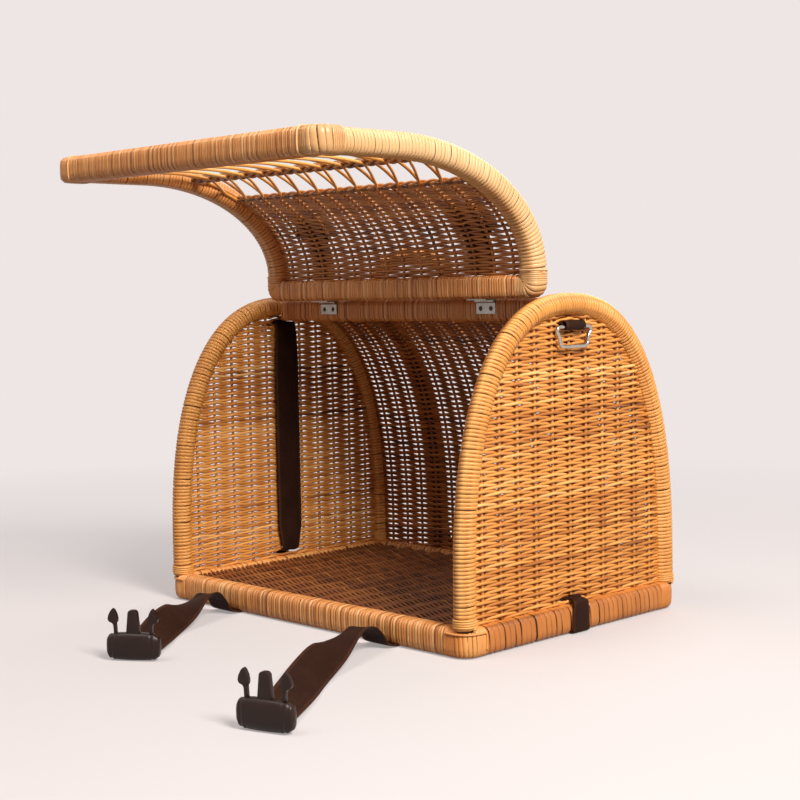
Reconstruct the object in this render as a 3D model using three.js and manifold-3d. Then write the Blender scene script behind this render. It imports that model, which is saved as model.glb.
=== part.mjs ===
// A small rattan pet carrier with an arched cabin and a lid that swings up from the ridge.
// Wrapped rails carry woven panels, two closing straps go round it, and a sling hangs on two rings.
// Millimetres, +Z up, X along the ridge, the opening faces -Y.
// The origin lies on the surface it stands on, under the middle of the front base rail.

import * as THREE from 'three';
import { mergeVertices } from 'three/addons/utils/BufferGeometryUtils.js';
import Module from 'manifold-3d';

// Driving dimensions of the body
const WIDTH = 420; // over the base rails, along X
const DEPTH = 302; // over the base rails, along Y
const HEIGHT = 308; // to the top of the arches
const RAIL_RADIUS = 10; // arch and lid rails over their wrapping
const SQUARE_RAIL = 20; // ridge and lid hinge rails
const RAIL_ROUND = 5; // rounded edges of the square rails
const BASE_RAIL_HEIGHT = 26;
const BASE_RAIL_DEPTH = 20;
const BASE_CORNER = 24; // wrapped corner blocks of the base
const PANEL = 6; // thickness of the woven panels, at their stakes
const WEAVE_STAKES = 24; // between the pairs of stakes that the weave goes round
const STAKE_PAIR = 5; // width of a pair of stakes
const WEAVE_DIP = 2.1; // weave lower than the stakes, midway between two pairs
const FLOOR_DROP = 3; // floor below the top of the base rails
const ARCH_SPRING = 55; // height at which the arch legs start to bend
const ARCH_POWER = 2.4; // squareness of the arch, 2 is an ellipse
const ARCH_INSET = 1; // arch behind the outer face of the base
const RIDGE_DROP = 5; // ridge rail below the arch tops

// Driving dimensions of the lid
const LID_OPEN_DEG = 90; // from shut to the open rest position
const LID_CORNER = 22; // wrapped corner blocks of the lid, along X and at the hinge
const LID_FRONT_RAIL = 24;
const LID_FRONT_CORNER = 26; // front corner blocks, across the rail
const LID_SHOULDER = 169; // height of the lid's rounded shoulder
const LID_LEAD = 4; // straight start of the lid's sides at the hinge rail
const LID_SEAT = 1; // shut lid above the base rails
const LID_WEAVE = 108; // closed weave along the lid, from the hinge rail
const LATTICE_BAYS = 12;
const LATTICE_LEAN = 1; // bays that a stake leans over, from the weave to the front rail
const LOWER_WINDOWS = 60; // from the weave to the twined band
const STAKE_RADIUS = 1.6; // open stakes of the lattice
const EDGE_RADIUS = 2.6; // cane along both edges of the lattice
const BAND_HEIGHT = 8; // twined band between the two window rows
const BAND_THICKNESS = 6;

// Driving dimensions of the carry handle
const HANDLE_SPAN = 96; // between the centre-lines of the upright parts
const HANDLE_RISE = 44; // centre-line above the ridge rail
const HANDLE_RADIUS = 8;
const HANDLE_FOOT = 26; // each end lying along the ridge
const HANDLE_BACK = 2; // handle behind the middle of the ridge
const BINDING_LENGTH = 14;
const BINDING = 2.5;

// Driving dimensions of the hinges
const HINGE_INSET = 100; // hinge middles in from the ends of the base
const HINGE_WIDTH = 24;
const LEAF_HEIGHT = 10;
const LEAF = 1.4;
const KNUCKLE_RADIUS = 2.6;
const PIN_RADIUS = 1.1;
const LEAF_GAP = 0.6; // between the two leaves when the lid is shut
const SCREW_SPACING = 13;
const SCREW_HEAD = 2.1;
const SCREW_SHANK = 1.1;
const SCREW_LENGTH = 8;
const SCREW_TIP = 1;

// Driving dimensions of the webbing, rings and buckles
const STRAP_WIDTH = 32;
const STRAP = 1.6;
const STRAP_INSET = 100; // closing straps in from the ends of the base
const SLIT_EDGE = 4; // panel left between a slit and the rail beside it
const RING_INSIDE = 44;
const RING_HEIGHT = 18; // between the centre-lines of its bars
const RING_WIRE = 3.6;
const RING_BEND = 6;
const RING_DROP = 3; // bar below the slit that its loop hangs from
const BUCKLE_WIDTH = 48;
const BUCKLE_BODY = 24;
const BUCKLE_THICKNESS = 12;
const PRONG_LENGTH = 21;
const PRONG_WIDTH = 5;
const PRONG_HEAD = 4;
const PRONG_THICKNESS = 5;
const GUIDE_WIDTH = 9;
const SOCKET_LENGTH = 42;
const SOCKET_WALL = 2.5;
const SOCKET_PLACE = 56; // middle of a socket along the lid, from the hinge rail

// Clearances
const FIT = 0.3; // between pieces that touch
const RUN = 1; // between the lid and what it swings past

// Points taken by the two free strap ends on the surface, each with the way its width lies
const STRAP_ENDS = {
  left: {
    route: [
      [0, 0, 1.1, 1, 0, 0],
      [0, -9, 4, 1, 0, 0],
      [0, -16, 15, 1, 0, 0],
      [1, -25, 20.5, 1, -0.05, -0.05],
      [4, -36, 20, 0.95, -0.15, -0.2],
      [10, -52, 17.5, 0.85, -0.3, -0.4],
      [26, -80, 14.5, 0.78, -0.3, -0.5],
      [46, -110, 12, 0.84, -0.05, -0.45],
      [67, -138, 9, 0.86, 0.3, -0.25],
      [84, -161, 6, 0.84, 0.5, -0.1],
      [96, -177, 4, 0.82, 0.57, 0],
    ],
  },
  right: {
    route: [
      [0, 0, 1.1, 1, 0, 0],
      [0, -9, 4, 1, 0, 0],
      [0, -16, 14, 1, 0, 0],
      [1, -26, 19.5, 1, -0.05, -0.05],
      [4, -40, 19, 0.95, -0.15, -0.2],
      [12, -60, 17, 0.85, -0.3, -0.4],
      [34, -98, 14, 0.8, -0.3, -0.45],
      [62, -140, 12, 0.86, -0.1, -0.35],
      [88, -178, 9, 0.92, 0.1, -0.2],
      [111, -213, 6, 0.95, 0.25, -0.1],
      [128, -238, 4, 0.95, 0.31, 0],
    ],
  },
};

// Places worked out from the driving dimensions
const ARCH_X = WIDTH / 2 - RAIL_RADIUS - ARCH_INSET;
const LEG_Y = DEPTH / 2 - RAIL_RADIUS;
const ARCH_TOP = HEIGHT - RAIL_RADIUS;
const INNER_X = ARCH_X - RAIL_RADIUS; // inner face of an arch
const HINGE_X = WIDTH / 2 - HINGE_INSET;
const STRAP_X = WIDTH / 2 - STRAP_INSET;
const RIDGE_Z = ARCH_TOP - RIDGE_DROP;
const RIDGE_TOP = RIDGE_Z + SQUARE_RAIL / 2;
const FLOOR_TOP = BASE_RAIL_HEIGHT - FLOOR_DROP;
const HINGE_SPACE = 2 * (FIT + LEAF) + LEAF_GAP; // between the ridge rail and the lid's hinge rail
const AXIS_Y = -SQUARE_RAIL / 2 - HINGE_SPACE / 2;
const AXIS_Z = RIDGE_TOP - RUN;
const LID_X = INNER_X - RUN - LID_CORNER / 2;
const LID_HINGE_Y = -SQUARE_RAIL / 2 - HINGE_SPACE - SQUARE_RAIL / 2;
const LID_FRONT_Z = BASE_RAIL_HEIGHT + LID_SEAT + LID_FRONT_CORNER / 2;
const LID_START_Y = LID_HINGE_Y - LID_CORNER / 2 - FIT;
const LID_END_Z = LID_FRONT_Z + LID_FRONT_CORNER / 2 + FIT;
const LID_PANEL_X = LID_X - LID_CORNER / 2 - FIT;
const STRAP_Z = FIT + STRAP / 2; // strap lying under the base
const SEAT_DEPTH = STRAP + 2 * FIT; // strap seats pressed into the base rails
const SEAT_WIDTH = STRAP_WIDTH + 2 * FIT;

const wasm = await Module();
wasm.setup();

// Helpers for sections, sweeps and cuts

function circle(radius, sides) {
  return Array.from({ length: sides }, (_, i) => {
    const a = (2 * Math.PI * (i + 0.5)) / sides;
    return new THREE.Vector2(radius * Math.cos(a), radius * Math.sin(a));
  });
}

function rectangle(width, height) {
  const [x, y] = [width / 2, height / 2];
  return [[-x, -y], [x, -y], [x, y], [-x, y]].map(([a, b]) => new THREE.Vector2(a, b));
}

function roundedRectangle(width, height, round, steps = 4) {
  const points = [];
  const centres = [[1, -1], [1, 1], [-1, 1], [-1, -1]];
  centres.forEach(([sx, sy], corner) => {
    for (let i = 0; i <= steps; i += 1) {
      const a = (Math.PI / 2) * (corner - 1 + i / steps);
      points.push(new THREE.Vector2(
        sx * (width / 2 - round) + round * Math.cos(a),
        sy * (height / 2 - round) + round * Math.sin(a),
      ));
    }
  });
  return points;
}

// Section through a weave: thickest at each pair of stakes and thin midway between two pairs.
function wovenSection(width) {
  const count = Math.max(Math.round(width / WEAVE_STAKES), 1);
  const pitch = width / count;
  const face = [];
  for (let i = 0; i < count; i += 1) {
    const left = i * pitch - width / 2;
    face.push([PANEL / 2 - WEAVE_DIP, left]);
    for (const side of [-0.5, 0.5]) face.push([PANEL / 2, left + pitch / 2 + side * STAKE_PAIR]);
  }
  face.push([PANEL / 2 - WEAVE_DIP, width / 2]);
  const back = [...face].reverse().map(([depth, along]) => [-depth, along]);
  return [...face, ...back].map(([depth, along]) => new THREE.Vector2(depth, along));
}

// A solid made of one section per station; a station has a point and the section's two directions.
function sweep(stations, section, closed = false) {
  const positions = [];
  for (const { point, u, v } of stations) {
    for (const s of section) {
      const p = point.clone().addScaledVector(u, s.x).addScaledVector(v, s.y);
      positions.push(p.x, p.y, p.z);
    }
  }
  const [n, m] = [stations.length, section.length];
  const index = [];
  for (let i = 0; i < (closed ? n : n - 1); i += 1) {
    for (let j = 0; j < m; j += 1) {
      const [a, b] = [i * m + j, i * m + ((j + 1) % m)];
      const [c, d] = [((i + 1) % n) * m + j, ((i + 1) % n) * m + ((j + 1) % m)];
      index.push(a, b, d, a, d, c);
    }
  }
  if (!closed) {
    const last = (n - 1) * m;
    for (const [a, b, c] of THREE.ShapeUtils.triangulateShape(section, [])) {
      index.push(a, c, b, last + a, last + b, last + c);
    }
  }
  const geometry = new THREE.BufferGeometry();
  geometry.setAttribute('position', new THREE.Float32BufferAttribute(positions, 3));
  geometry.setIndex(index);
  geometry.computeVertexNormals();
  return geometry;
}

// Stations along a path that stays in one plane, mitred where it turns; v is the plane's normal.
function planarStations(points, normal, closed = false) {
  const n = points.length;
  return points.map((point, i) => {
    const before = closed ? points[(i + n - 1) % n] : points[Math.max(i - 1, 0)];
    const after = closed ? points[(i + 1) % n] : points[Math.min(i + 1, n - 1)];
    const into = point.clone().sub(before).normalize();
    const out = after.clone().sub(point).normalize();
    const along = into.clone().add(out).normalize();
    const u = normal.clone().cross(along);
    const mitre = into.lengthSq() && out.lengthSq() ? 1 / along.dot(into) : 1;
    return { point, u: u.multiplyScalar(mitre), v: normal };
  });
}

const X_AXIS = new THREE.Vector3(1, 0, 0);
const Y_AXIS = new THREE.Vector3(0, 1, 0);

const yzPath = (points, x = 0) => points.map(([y, z]) => new THREE.Vector3(x, y, z));
const xzPath = (points, y = 0) => points.map(([x, z]) => new THREE.Vector3(x, y, z));

// A bar of constant section along X, given in (y, z), between two values of x.
function barAlongX(section, x0, x1, y, z) {
  const stations = [x0, x1].map((x) => ({
    point: new THREE.Vector3(x, y, z),
    u: new THREE.Vector3(0, 1, 0),
    v: new THREE.Vector3(0, 0, 1),
  }));
  return sweep(stations, section);
}

function barAlongY(section, y0, y1, x, z) {
  const stations = [y0, y1].map((y) => ({
    point: new THREE.Vector3(x, y, z),
    u: new THREE.Vector3(0, 0, 1),
    v: new THREE.Vector3(1, 0, 0),
  }));
  return sweep(stations, section);
}

function box(x, y, z, at) {
  return new THREE.BoxGeometry(x, y, z).translate(...at);
}

function asSolid(geometry) {
  const bare = new THREE.BufferGeometry();
  bare.setAttribute('position', geometry.getAttribute('position').clone());
  if (geometry.index) bare.setIndex(geometry.index.clone());
  const merged = mergeVertices(bare, 1e-4);
  return new wasm.Manifold(new wasm.Mesh({
    numProp: 3,
    vertProperties: new Float32Array(merged.getAttribute('position').array),
    triVerts: new Uint32Array(merged.index.array),
  }));
}

function asGeometry(manifold) {
  const mesh = manifold.getMesh();
  const geometry = new THREE.BufferGeometry();
  geometry.setAttribute('position', new THREE.Float32BufferAttribute(mesh.vertProperties, 3));
  geometry.setIndex(Array.from(mesh.triVerts));
  geometry.computeVertexNormals();
  return geometry;
}

const join = (...list) => asGeometry(list.map(asSolid).reduce((a, b) => a.add(b)));
const common = (a, b) => asGeometry(asSolid(a).intersect(asSolid(b)));
const cut = (body, ...tools) => asGeometry(
  tools.map(asSolid).reduce((a, b) => a.subtract(b), asSolid(body)),
);

const RATTAN_GOLD = { color: 0xd2924a, roughness: 0.55, metalness: 0 };
const RATTAN_TAN = { color: 0xb07848, roughness: 0.6, metalness: 0 };
const RATTAN_STRAW = { color: 0xe2be86, roughness: 0.5, metalness: 0 };
const RATTAN_WEAVE = { color: 0xa9702f, roughness: 0.65, metalness: 0 };
const WEBBING = { color: 0x2f1a12, roughness: 0.9, metalness: 0 };
const PLASTIC = { color: 0x2b1c16, roughness: 0.4, metalness: 0 };
const STEEL = { color: 0xc9c9c9, roughness: 0.25, metalness: 1 };

const carrier = new THREE.Group();
carrier.position.set(0, LEG_Y, 0);

function piece(parent, name, geometry, look) {
  const mesh = new THREE.Mesh(geometry, new THREE.MeshStandardMaterial(look));
  mesh.name = name;
  parent.add(mesh);
}

const SIDES = [['left', -1], ['right', 1]];

// The base: four square rails with wrapped corner blocks.
// Straps pass under the rails in shallow seats, so the rails themselves stand on the surface.
function baseFrame() {
  const section = roundedRectangle(BASE_RAIL_DEPTH, BASE_RAIL_HEIGHT, RAIL_ROUND);
  const upright = roundedRectangle(BASE_RAIL_HEIGHT, BASE_RAIL_DEPTH, RAIL_ROUND);
  const z = BASE_RAIL_HEIGHT / 2;
  const railY = DEPTH / 2 - BASE_RAIL_DEPTH / 2;
  const railX = WIDTH / 2 - BASE_RAIL_DEPTH / 2;
  const endX = WIDTH / 2 - BASE_CORNER - FIT;
  const endY = DEPTH / 2 - BASE_CORNER - FIT;
  const across = 2 * BASE_RAIL_DEPTH;
  for (const [name, sy] of [['front', -1], ['back', 1]]) {
    const rail = barAlongX(section, -endX, endX, sy * railY, z);
    const seats = SIDES.map(([, sx]) => box(
      SEAT_WIDTH, across, 2 * SEAT_DEPTH, [sx * STRAP_X, sy * railY, 0],
    ));
    piece(carrier, `base_${name}_rail`, cut(rail, ...seats), RATTAN_TAN);
  }
  for (const [name, sx] of SIDES) {
    const rail = barAlongY(upright, -endY, endY, sx * railX, z);
    const seat = box(across, SEAT_WIDTH, 2 * SEAT_DEPTH, [sx * railX, 0, 0]);
    piece(carrier, `base_${name}_rail`, cut(rail, seat), RATTAN_GOLD);
    for (const [end, sy] of [['front', -1], ['back', 1]]) {
      const outline = roundedRectangle(BASE_CORNER, BASE_CORNER, RAIL_ROUND, 3);
      const block = sweep([0, BASE_RAIL_HEIGHT].map((h) => ({
        point: new THREE.Vector3(sx * (WIDTH / 2 - BASE_CORNER / 2), sy * (DEPTH / 2 - BASE_CORNER / 2), h),
        u: new THREE.Vector3(1, 0, 0),
        v: new THREE.Vector3(0, 1, 0),
      })), outline);
      piece(carrier, `base_corner_${end}_${name}`, block, RATTAN_GOLD);
    }
  }
}

// The woven floor, let in between the rails and notched round the corner blocks.
function floorPanel() {
  const x = WIDTH / 2 - BASE_RAIL_DEPTH - FIT;
  const y = DEPTH / 2 - BASE_RAIL_DEPTH - FIT;
  const notch = BASE_CORNER - BASE_RAIL_DEPTH;
  const shape = new THREE.Shape();
  shape.moveTo(-x + notch, -y);
  for (const [px, py] of [
    [x - notch, -y], [x - notch, -y + notch], [x, -y + notch],
    [x, y - notch], [x - notch, y - notch], [x - notch, y],
    [-x + notch, y], [-x + notch, y - notch], [-x, y - notch],
    [-x, -y + notch], [-x + notch, -y + notch],
  ]) shape.lineTo(px, py);
  const plate = new THREE.ExtrudeGeometry(shape, { depth: PANEL, bevelEnabled: false });
  piece(carrier, 'floor_panel', plate.translate(0, 0, FLOOR_TOP - PANEL), RATTAN_WEAVE);
}

// Half of the arch's centre-line, moved sideways by an offset: from the foot to the top, in (y, z).
function archHalf(offset, foot, steps = 14) {
  const rise = ARCH_TOP - ARCH_SPRING;
  const points = [[LEG_Y + offset, foot]];
  for (let i = 0; i <= steps; i += 1) {
    const a = (Math.PI / 2) * (i / steps);
    const [c, s] = [Math.cos(a) ** (2 / ARCH_POWER), Math.sin(a) ** (2 / ARCH_POWER)];
    const [ny, nz] = [c ** (ARCH_POWER - 1) / LEG_Y, s ** (ARCH_POWER - 1) / rise];
    const length = Math.hypot(ny, nz);
    points.push([LEG_Y * c + (offset * ny) / length, ARCH_SPRING + rise * s + (offset * nz) / length]);
  }
  return points;
}

const mirrored = (half) => [...half, ...half.slice(0, -1).reverse().map(([y, z]) => [-y, z])];

// The two arches and the flat woven panels inside them; each panel has two slits for the sling.
function arches() {
  const foot = BASE_RAIL_HEIGHT + FIT;
  for (const [name, sx] of SIDES) {
    const path = yzPath(mirrored(archHalf(0, foot)), sx * ARCH_X);
    const rail = sweep(planarStations(path, X_AXIS), circle(RAIL_RADIUS, 12));
    piece(carrier, `arch_${name}`, rail, RATTAN_GOLD);
    const outline = mirrored(archHalf(-RAIL_RADIUS - FIT, foot));
    const shape = new THREE.Shape(outline.map(([y, z]) => new THREE.Vector2(y, z)));
    for (const [low, high] of [[SLING.bottomLow, SLING.bottomHigh], [SLING.topLow, SLING.topHigh]]) {
      const middle = new THREE.Vector2(0, (low + high) / 2);
      const slit = rectangle(SEAT_WIDTH, high - low).map((p) => p.add(middle));
      shape.holes.push(new THREE.Path(slit));
    }
    const plate = new THREE.ExtrudeGeometry(shape, { depth: 2 * PANEL, bevelEnabled: false });
    plate.translate(0, 0, -PANEL).rotateY(Math.PI / 2).rotateX(Math.PI / 2);
    const weave = sweep([0, HEIGHT].map((z) => ({
      point: new THREE.Vector3(0, 0, z), u: X_AXIS, v: Y_AXIS,
    })), wovenSection(2 * (LEG_Y - RAIL_RADIUS - FIT)));
    const panel = common(weave, plate).translate(sx * ARCH_X, 0, 0);
    piece(carrier, `side_panel_${name}`, panel, RATTAN_GOLD);
  }
}

// The fixed ridge rail between the arch tops, drilled for the hinge screws.
function ridgeRail() {
  const end = INNER_X - FIT;
  const rail = barAlongX(roundedRectangle(SQUARE_RAIL, SQUARE_RAIL, RAIL_ROUND), -end, end, 0, RIDGE_Z);
  const holes = screwPlaces().map(([x]) => pilotHole(x, -SQUARE_RAIL / 2, RIDGE_Z + LEAF_DROP));
  piece(carrier, 'ridge_rail', cut(rail, ...holes), RATTAN_TAN);
}

// The curved back panel from the ridge down to the base, let in round the handle's bindings.
function backPanel() {
  const half = archHalf(0, BASE_RAIL_HEIGHT + FIT, 18).filter(([y]) => y > SQUARE_RAIL / 2 + PANEL);
  const edge = SQUARE_RAIL / 2 + FIT + RUN;
  const path = yzPath([...half, [edge, archHeight(edge)]]);
  const sheet = sweep(planarStations(path, X_AXIS), wovenSection(2 * (INNER_X - FIT)));
  const room = BINDING + 2 * FIT;
  const slots = SIDES.map(([, sx]) => box(
    BINDING_LENGTH + 2 * FIT, 2 * room, 2 * SQUARE_RAIL,
    [sx * BINDING_X, SQUARE_RAIL / 2 + HANDLE_BACK, RIDGE_Z],
  ));
  piece(carrier, 'back_panel', cut(sheet, ...slots), RATTAN_WEAVE);
}

function archHeight(y) {
  const part = 1 - (Math.abs(y) / LEG_Y) ** ARCH_POWER;
  return ARCH_SPRING + (ARCH_TOP - ARCH_SPRING) * part ** (1 / ARCH_POWER);
}

// The carry handle: one bent cane whose ends lie along the ridge, each bound to it.
const HANDLE_Z = RIDGE_TOP + FIT + HANDLE_RADIUS;
const HANDLE_FLARE = HANDLE_RADIUS * 1.5;
const BINDING_X = HANDLE_SPAN / 2 + HANDLE_FLARE + HANDLE_FOOT / 2;

function carryHandle() {
  const rise = HANDLE_RISE - HANDLE_RADIUS;
  const half = [];
  const footX = HANDLE_SPAN / 2 + HANDLE_FLARE;
  half.push([-footX - HANDLE_FOOT, HANDLE_Z]);
  for (let i = 0; i <= 4; i += 1) {
    const a = (Math.PI / 2) * (i / 4);
    half.push([-footX + HANDLE_FLARE * Math.sin(a), HANDLE_Z + HANDLE_FLARE * (1 - Math.cos(a))]);
  }
  const bend = rise - HANDLE_FLARE;
  for (let i = 1; i <= 8; i += 1) {
    const a = (Math.PI / 2) * (i / 8);
    half.push([-(HANDLE_SPAN / 2) * Math.cos(a), HANDLE_Z + HANDLE_FLARE + bend * Math.sin(a)]);
  }
  const points = [...half, ...half.slice(0, -1).reverse().map(([x, z]) => [-x, z])];
  const stations = planarStations(xzPath(points, HANDLE_BACK), Y_AXIS);
  piece(carrier, 'carry_handle', sweep(stations, circle(HANDLE_RADIUS, 10)), RATTAN_TAN);

  const around = (gap) => {
    const square = roundedRectangle(SQUARE_RAIL + 2 * gap, SQUARE_RAIL + 2 * gap, RAIL_ROUND, 3);
    const above = new THREE.Vector2(HANDLE_BACK, HANDLE_Z - RIDGE_Z);
    const foot = circle(HANDLE_RADIUS + gap, 14).map((p) => p.add(above));
    return hull([...square, ...foot]);
  };
  for (const [name, sx] of SIDES) {
    const x0 = sx * BINDING_X - BINDING_LENGTH / 2;
    const x1 = sx * BINDING_X + BINDING_LENGTH / 2;
    const band = barAlongX(around(FIT + BINDING), x0, x1, 0, RIDGE_Z);
    const inside = barAlongX(around(FIT), x0 - RUN, x1 + RUN, 0, RIDGE_Z);
    piece(carrier, `handle_binding_${name}`, cut(band, inside), RATTAN_GOLD);
  }
}

// Convex outline round a set of points, anticlockwise.
function hull(points) {
  const sorted = [...points].sort((a, b) => a.x - b.x || a.y - b.y);
  const chain = (list) => {
    const kept = [];
    for (const p of list) {
      while (kept.length > 1) {
        const [a, b] = kept.slice(-2);
        if ((b.x - a.x) * (p.y - a.y) - (b.y - a.y) * (p.x - a.x) > 1e-6) break;
        kept.pop();
      }
      kept.push(p);
    }
    return kept.slice(0, -1);
  };
  return [...chain(sorted), ...chain(sorted.reverse())];
}

// Two butt hinges: a leaf on the ridge rail, a leaf on the lid's hinge rail, a pin and four screws each.
const LEAF_DROP = AXIS_Z - KNUCKLE_RADIUS - LEAF_HEIGHT / 2 - RIDGE_Z;

function screwPlaces() {
  return SIDES.flatMap(([name, sx]) => [-1, 1].map((s, i) => [
    sx * HINGE_X + (s * SCREW_SPACING) / 2, `${name}`, i + 1,
  ]));
}

// A round tool along Y that reaches a screw's depth to both sides of y0.
function pilotHole(x, y0, z) {
  const depth = SCREW_LENGTH + 2 * FIT;
  const hole = new THREE.CylinderGeometry(SCREW_SHANK + FIT, SCREW_SHANK + FIT, 2 * depth, 8);
  return hole.translate(x, y0, z);
}

function screw(x, face, z, way) {
  const profile = [
    [0, 0], [SCREW_HEAD, 0], [SCREW_SHANK, -LEAF],
    [SCREW_SHANK, SCREW_TIP - SCREW_LENGTH], [0, -SCREW_LENGTH],
  ].reverse().map(([r, h]) => new THREE.Vector2(r, h));
  const body = new THREE.LatheGeometry(profile, 10);
  if (way < 0) body.rotateX(Math.PI);
  return body.translate(x, face, z);
}

function leafSolid(x, way, knuckles) {
  const rail = AXIS_Y - way * (HINGE_SPACE / 2);
  const inner = rail + way * FIT;
  const middle = inner + (way * LEAF) / 2;
  const z = RIDGE_Z + LEAF_DROP;
  const reach = LEAF_HEIGHT + KNUCKLE_RADIUS / 2;
  const plate = box(HINGE_WIDTH, LEAF, LEAF_HEIGHT, [x, middle, z]);
  const parts = [plate];
  for (const [from, to] of knuckles) {
    const barrel = new THREE.CylinderGeometry(KNUCKLE_RADIUS, KNUCKLE_RADIUS, to - from, 14);
    parts.push(barrel.rotateZ(Math.PI / 2).translate(x + (from + to) / 2, AXIS_Y, AXIS_Z));
    const web = box(to - from, LEAF, reach, [x + (from + to) / 2, middle, AXIS_Z - reach / 2]);
    parts.push(web);
  }
  const bore = new THREE.CylinderGeometry(PIN_RADIUS + FIT, PIN_RADIUS + FIT, 2 * HINGE_WIDTH, 12);
  const tools = [bore.rotateZ(Math.PI / 2).translate(x, AXIS_Y, AXIS_Z)];
  for (const s of [-1, 1]) {
    const [wide, narrow] = [SCREW_HEAD + FIT, SCREW_SHANK + FIT];
    const sink = way > 0
      ? new THREE.CylinderGeometry(wide, narrow, LEAF, 12)
      : new THREE.CylinderGeometry(narrow, wide, LEAF, 12);
    const through = new THREE.CylinderGeometry(narrow, narrow, 4 * LEAF, 12);
    const sx = x + (s * SCREW_SPACING) / 2;
    tools.push(sink.translate(sx, middle, z), through.translate(sx, middle, z));
  }
  return cut(join(...parts), ...tools);
}

function hinges(lid) {
  const third = HINGE_WIDTH / 3;
  const half = HINGE_WIDTH / 2;
  const outer = [[-half, -half + third - FIT], [half - third + FIT, half]];
  const inner = [[-half + third, half - third]];
  const z = RIDGE_Z + LEAF_DROP;
  for (const [name, sx] of SIDES) {
    const x = sx * HINGE_X;
    piece(carrier, `hinge_${name}_body_leaf`, leafSolid(x, -1, outer), STEEL);
    piece(lid, `hinge_${name}_lid_leaf`, leafSolid(x, 1, inner), STEEL);
    const pin = new THREE.CylinderGeometry(PIN_RADIUS, PIN_RADIUS, HINGE_WIDTH, 10);
    piece(carrier, `hinge_${name}_pin`, pin.rotateZ(Math.PI / 2).translate(x, AXIS_Y, AXIS_Z), STEEL);
  }
  for (const [x, name, count] of screwPlaces()) {
    piece(carrier, `hinge_${name}_body_screw_${count}`, screw(x, AXIS_Y + LEAF_GAP / 2, z, -1), STEEL);
    piece(lid, `hinge_${name}_lid_screw_${count}`, screw(x, AXIS_Y - LEAF_GAP / 2, z, 1), STEEL);
  }
}

// The lid, drawn shut and then swung open about the hinge axis.
// Its side follows a quarter ellipse from the hinge rail and then runs straight down to the front rail.
function lidCurve(offset = 0, steps = 16) {
  const [a, b] = [LEG_Y + LID_START_Y - LID_LEAD, LID_SHOULDER];
  const points = [[LID_START_Y, RIDGE_Z + offset]];
  for (let i = 0; i <= steps; i += 1) {
    const t = (Math.PI / 2) * (i / steps);
    const [ny, nz] = [-Math.sin(t) / a, Math.cos(t) / b];
    const length = Math.hypot(ny, nz);
    const y = LID_START_Y - LID_LEAD - a * Math.sin(t) + (offset * ny) / length;
    const z = RIDGE_Z - b * (1 - Math.cos(t)) + (offset * nz) / length;
    points.push([y, z]);
  }
  points.push([-LEG_Y - offset, LID_END_Z]);
  return points;
}

// The stretch of a polyline between two lengths along it.
function stretch(points, from, to) {
  const kept = [];
  let walked = 0;
  for (let i = 1; i < points.length; i += 1) {
    const [a, b] = [points[i - 1], points[i]];
    const length = Math.hypot(b[0] - a[0], b[1] - a[1]);
    const at = (s) => [0, 1].map((k) => a[k] + ((b[k] - a[k]) * (s - walked)) / length);
    if (from >= walked && from < walked + length) kept.push(at(from));
    else if (walked > from && walked < to) kept.push(a);
    if (to > walked && to <= walked + length) kept.push(at(to));
    walked += length;
  }
  return kept;
}

function lengthOf(points) {
  const steps = points.slice(1).map((p, i) => Math.hypot(p[0] - points[i][0], p[1] - points[i][1]));
  return steps.reduce((sum, step) => sum + step, 0);
}

function lidFrame(lid) {
  const square = roundedRectangle(SQUARE_RAIL, SQUARE_RAIL, RAIL_ROUND);
  const block = roundedRectangle(LID_CORNER, LID_CORNER, RAIL_ROUND, 3);
  const front = roundedRectangle(LID_FRONT_RAIL, LID_FRONT_RAIL, RAIL_ROUND);
  const frontBlock = roundedRectangle(LID_FRONT_CORNER, LID_FRONT_CORNER, RAIL_ROUND, 3);
  const end = LID_X - LID_CORNER / 2 - FIT;
  const hingeRail = barAlongX(square, -end, end, LID_HINGE_Y, RIDGE_Z);
  const face = LID_HINGE_Y + SQUARE_RAIL / 2;
  const holes = screwPlaces().map(([x]) => pilotHole(x, face, RIDGE_Z + LEAF_DROP));
  piece(lid, 'lid_hinge_rail', cut(hingeRail, ...holes), RATTAN_TAN);
  piece(lid, 'lid_front_rail', barAlongX(front, -end, end, -LEG_Y, LID_FRONT_Z), RATTAN_TAN);
  for (const [name, sx] of SIDES) {
    const path = yzPath(lidCurve(), sx * LID_X);
    const x0 = sx * LID_X - LID_CORNER / 2;
    const x1 = sx * LID_X + LID_CORNER / 2;
    const side = sweep(planarStations(path, X_AXIS), circle(RAIL_RADIUS, 12));
    piece(lid, `lid_side_rail_${name}`, side, RATTAN_STRAW);
    piece(lid, `lid_corner_hinge_${name}`, barAlongX(block, x0, x1, LID_HINGE_Y, RIDGE_Z), RATTAN_STRAW);
    const corner = barAlongX(frontBlock, x0, x1, -LEG_Y, LID_FRONT_Z);
    piece(lid, `lid_corner_front_${name}`, corner, RATTAN_STRAW);
  }
}

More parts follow.
